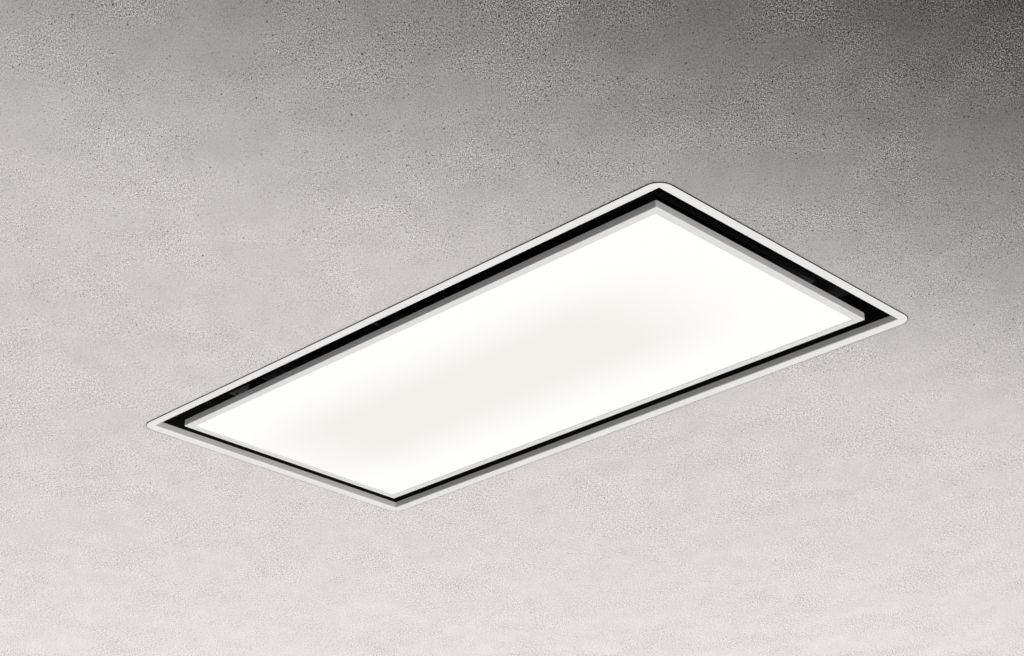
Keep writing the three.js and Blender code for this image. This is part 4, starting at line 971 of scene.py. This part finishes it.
def hinges_and_catches():
    for side, label in ((-1, "left"), (1, "right")):
        x = side * 300 * MM
        for node in (f"hinge_arm_{label}", f"hinge_bracket_{label}"):
            refined(node, "zinc_sheet", width=0.35 * MM, segments=3)
        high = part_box(f"hinge_bracket_{label}")[1]
        sheet, drop, reach = 2 * MM, 7 * MM, 16 * MM
        places = [(x + sx * reach, high.y - sheet, high.z - drop) for sx in (-1, 1)]
        heads(f"hinge_screws_{label}", SCREW, places, FRONT, "root", radius=3 * MM)
        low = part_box(f"hinge_arm_{label}")[0]
        sheet, reach = 1.5 * MM, 12 * MM
        places = [(x + sx * reach, low.y + y * MM, low.z + sheet) for sx in (-1, 1) for y in (7, 24)]
        heads(f"arm_rivets_{label}", RIVET, places, UP, "light_panel", radius=2.4 * MM)
        # The catches take the near-black painted shade.
        refined(f"catch_plate_{label}", "steel", finish=gap_shade_black)
        refined(f"catch_bracket_{label}", "black_paint", 0.4 * MM, 3, gap_shade_black)
        refined(f"catch_magnet_{label}", "magnet_black", 0.6 * MM, 3, gap_shade_black)
        liner_screws(f"catch_screws_{label}", f"catch_bracket_{label}", x, reach=6 * MM)
    refined("contact_bracket", "black_paint", width=0.4 * MM, segments=3)
    liner_screws("contact_screws", "contact_bracket", 0, reach=5 * MM)
    refined("contact_block", "housing_plastic", width=0.6 * MM, segments=3)
    refined("contact_pad", "housing_plastic")


def liner_screws(name, node, x, reach):
    """The two screws that hold a bracket to the liner."""
    low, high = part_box(node)
    sheet, drop = 2 * MM, 9 * MM
    places = [(x + sx * reach, low.y + sheet, high.z - drop) for sx in (-1, 1)]
    heads(name, SCREW, places, BACK, "root", radius=2.8 * MM, finish=black_screw)


# --------------------------------------------------------------------
# Fan under its cover, and the outlet


def motor_cover():
    low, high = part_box("motor_cover")
    shape = rounded(whole_faces("motor_cover"), 0.45 * MM, segments=3)
    grooves = bmesh.new()
    reach, radius, depth = 180 * MM, 6 * MM, 0.6 * MM
    for y in (-130 * MM, -65 * MM, 0, 65 * MM, 130 * MM):
        merge(grooves, capsule((-reach, y, high.z), (reach, y, high.z), radius, depth, UP))
    shape = carved(shape, grooves)
    wall_x, wall_y = 230 * MM, 200 * MM
    bottom, above_box, top = 165 * MM, 185 * MM, 285 * MM
    beads = []
    for x in (-150, -90, -30, 30, 90, 150):
        for side in (-1, 1):
            y = side * (wall_y - BEAD_ROOT)
            beads.append(((x * MM, y, bottom), (x * MM, y, top), (0, side, 0)))
    x = wall_x - BEAD_ROOT
    beads += [((-x, y * MM, above_box), (-x, y * MM, top), LEFT) for y in (-140, -90, -40, 40, 90, 140)]
    beads += [((x, y * MM, bottom), (x, y * MM, top), RIGHT) for y in (-160, -110, -60)]
    pressed(shape, beads)
    piece("fan_cover", mesh_of(shape, "fan_cover"), "zinc_sheet", "root", "motor_cover")
    flange, edge = low.z + 1 * MM, 6 * MM
    places = [(x * MM, side * (wall_y + edge), flange) for x in (-205, -70, 70, 205) for side in (-1, 1)]
    places += [(-wall_x - edge, y * MM, flange) for y in (-150, -60, 60, 150)]
    places += [(wall_x + edge + 0.5 * MM, y * MM, flange) for y in (-150, -20)]
    heads("cover_screws", SCREW, places, UP, "root", radius=3 * MM)


def outlet_collar():
    low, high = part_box("outlet_collar")
    middle_y, middle_z = (low.y + high.y) / 2, (low.z + high.z) / 2
    flange = (high.y - low.y) / 2 / MM
    bore, outer = 73, 75
    end = (high.x - low.x) / MM
    profile = [  # radius and distance from the cover's wall, in millimetres
        (bore + 0.4, 0), (outer, 0), (outer, 1.3),
        (flange - 0.5, 1.3), (flange, 1.6), (flange, 3), (flange - 0.5, 3.3),
        (outer + 1, 3.3), (outer + 0.3, 3.6), (outer, 4.3),
    ]
    for bead in (22, 53.3):
        profile += [(outer + math.cos(a), bead + 2 * math.sin(a)) for a in arc(-90, 90, 8)]
    profile += [(outer, end - 1.5), (outer - 0.9, end), (bore + 0.3, end), (bore, end - 0.3), (bore, 0.4)]
    place = facing((low.x, middle_y, middle_z), RIGHT)
    shape = turned_shape([(r * MM, z * MM) for r, z in profile], 128, turn=place)
    half, foot, tip = 0.9 * MM, 3 * MM, 9 * MM
    inner = outer * MM - 0.2 * MM
    for turn in arc(22.5, 337.5, 7):
        rib = block((inner, -half, foot), ((flange - 2) * MM, half, tip), 0.4 * MM)
        bmesh.ops.transform(rib, matrix=place @ Matrix.Rotation(turn, 4, "Z"), verts=rib.verts)
        merge(shape, rib)
    piece("outlet_spigot", mesh_of(shape, "outlet"), "housing_plastic", "root", "outlet_collar")
    ring = (outer + flange) / 2 * MM
    x = low.x + 3.3 * MM
    places = [(x, middle_y + ring * math.cos(a), middle_z + ring * math.sin(a)) for a in arc(0, 270, 3)]
    heads("collar_screws", SCREW, places, RIGHT, "root", radius=2.6 * MM)
    low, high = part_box("flap_pin")
    x, y = (low.x + high.x) / 2, (low.y + high.y) / 2
    boss = [(4.5 * MM, -0.3 * MM), (4.5 * MM, 1.2 * MM), (3.6 * MM, 2 * MM), (0.2 * MM, 2 * MM)]
    for name, z, along in (("pin_boss_top", high.z, UP), ("pin_boss_bottom", low.z, DOWN)):
        head = turned_shape(boss, 32, closed=False, turn=facing((x, y, z), along))
        piece(name, mesh_of(head, name), "housing_plastic", "root")
    refined("flap_pin", "steel", width=0.2 * MM)


def flaps():
    for label, side in (("back", 1), ("front", -1)):
        node = f"flap_{label}"
        shape = rounded(whole_faces(node), 0.25 * MM)
        low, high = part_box(node)
        middle = (low.z + high.z) / 2
        face = low.x + 1.4 * MM
        hinge_y, near, far = 110 * MM, 8 * MM, 50 * MM
        for z in (middle - 38 * MM, middle + 38 * MM):
            start, end = (face, hinge_y + side * near, z), (face, hinge_y + side * far, z)
            merge(shape, capsule(start, end, 1.2 * MM, 1 * MM, RIGHT))
        piece(node + "_shown", mesh_of(shape, node), "pale_plastic", node, node)


def fan():
    for node in ("volute_lower", "volute_upper", "inlet_ring"):
        refined(node, "fan_plastic")
    refined("impeller", "fan_plastic", width=0)
    refined("motor", "motor_steel", width=1.5 * MM, segments=3)
    refined("motor_plate", "zinc_sheet", width=0.4 * MM)
    for i in (1, 2, 3):
        refined(f"motor_mount_{i}", "rubber", width=0.8 * MM, segments=3)
    refined("capacitor", "pale_plastic", width=1.5 * MM, segments=4)
    start_x, drop_x, end_x = -25 * MM, -215 * MM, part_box("motor_lead")[0].x
    motor_top, over, entry = 295.9 * MM, 305.9 * MM, 148.9 * MM
    route = [
        (start_x, 0, motor_top),
        (start_x, 0, over),
        (drop_x, 0, over),
        (drop_x, 0, entry),
        (end_x, 0, entry),
    ]
    tube("motor_cable", route, 3 * MM, 8 * MM, "lead_jacket", "root", "motor_lead")
    refined("motor_grommet", "rubber", width=0.4 * MM)


# --------------------------------------------------------------------
# Control unit


def control_unit():
    refined("control_box", "housing_plastic", width=0.8 * MM, segments=3)
    low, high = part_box("control_lid")
    shape = rounded(whole_faces("control_lid"), 0.6 * MM, segments=3)
    middle = (low.x + high.x) / 2
    inset, z = 26 * MM, high.z - 0.2 * MM
    for offset in range(-40, 41, 10):
        x = middle + offset * MM
        merge(shape, capsule((x, low.y + inset, z), (x, high.y - inset, z), 1.8 * MM, 1.4 * MM, UP))
    piece("control_cover", mesh_of(shape, "control_cover"), "housing_plastic", "root", "control_lid")
    inset = 8 * MM
    across, along = (low.x + inset, high.x - inset), (low.y + inset, high.y - inset)
    heads("lid_screws", SCREW, [(x, y, high.z) for x in across for y in along], UP, "root", radius=3 * MM)
    lugs(low, high)
    refined("control_board", "circuit_board")
    refined("lamp_driver", "pale_plastic", width=0.8 * MM, segments=3)
    refined("terminal_block", "pale_plastic", width=0.5 * MM)
    refined("lamp_grommet", "rubber", width=0.4 * MM)
    gland()


def lugs(low, high):
    """The four lugs that screw the control unit down, beside the corners of its lid."""
    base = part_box("control_box")[0].z
    inset, half, reach, overlap, thick = 24 * MM, 7 * MM, 12 * MM, 0.5 * MM, 3 * MM
    shape = bmesh.new()
    spots = []
    for x in (low.x + inset, high.x - inset):
        for side in (-1, 1):
            y = side * high.y
            y0, y1 = sorted((y - side * overlap, y + side * reach))
            merge(shape, block((x - half, y0, base), (x + half, y1, base + thick), 0.6 * MM, segments=3))
            spots.append((x, y + side * reach / 2, base + thick))
    piece("control_lugs", mesh_of(shape, "control_lugs"), "housing_plastic", "root")
    heads("lug_screws", SCREW, spots, UP, "root", radius=2.8 * MM)


def gland():
    low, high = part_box("supply_gland")
    y, z = (low.y + high.y) / 2, (low.z + high.z) / 2
    place = facing((low.x, y, z), RIGHT)
    cap = [  # radius and distance from the tip, in millimetres
        (4.5, 0.2), (5, 0), (8.4, 0), (9.6, 1), (10.6, 4), (11, 6), (11, 9.5), (8, 9.5), (8, 20), (4.5, 20)
    ]
    shape = turned_shape([(r * MM, h * MM) for r, h in cap], 64, turn=place)
    inner, outer = 7.9 * MM, 12 * MM
    for start, end in ((9.7 * MM, 16 * MM), (19.1 * MM, high.x - low.x)):
        nut = turned_shape([(inner, start), (outer, start), (outer, end), (inner, end)], 6, turn=place)
        merge(shape, rounded(nut, 0.5 * MM))
    inner, outer, half = 10.3 * MM, 11.4 * MM, 0.5 * MM
    for turn in arc(0, 345, 23):
        rib = block((inner, -half, 4.5 * MM), (outer, half, 9 * MM), 0.25 * MM)
        bmesh.ops.transform(rib, matrix=place @ Matrix.Rotation(turn, 4, "Z"), verts=rib.verts)
        merge(shape, rib)
    piece("supply_fitting", mesh_of(shape, "gland"), "housing_plastic", "root", "supply_gland")


def lamp_cable():
    start_x, end_y = -12.3 * MM, 4.7 * MM
    y, z = -190 * MM, 16.45 * MM
    lead_x, lead_y, lead_z = -30 * MM, -228 * MM, 66.4 * MM
    entry_x, entry_y, end_z = -415 * MM, -8 * MM, 135.8 * MM
    route = [
        (start_x, y, z),
        (lead_x, y, z),
        (lead_x, lead_y, z),
        (lead_x, lead_y, lead_z),
        (entry_x, lead_y, lead_z),
        (entry_x, entry_y, lead_z),
        (entry_x, entry_y, end_z),
        (entry_x, end_y, end_z),
    ]
    tube("lamp_cable", route, 2.5 * MM, 6 * MM, "lead_jacket", "root", "lamp_lead")


trim_frame()
inner_liner()
plenum_casing()
filter_carrier()
hangers()
filters()
panel_frame()
diffuser()
panel_inside()
hinges_and_catches()
motor_cover()
outlet_collar()
flaps()
fan()
control_unit()
lamp_cable()
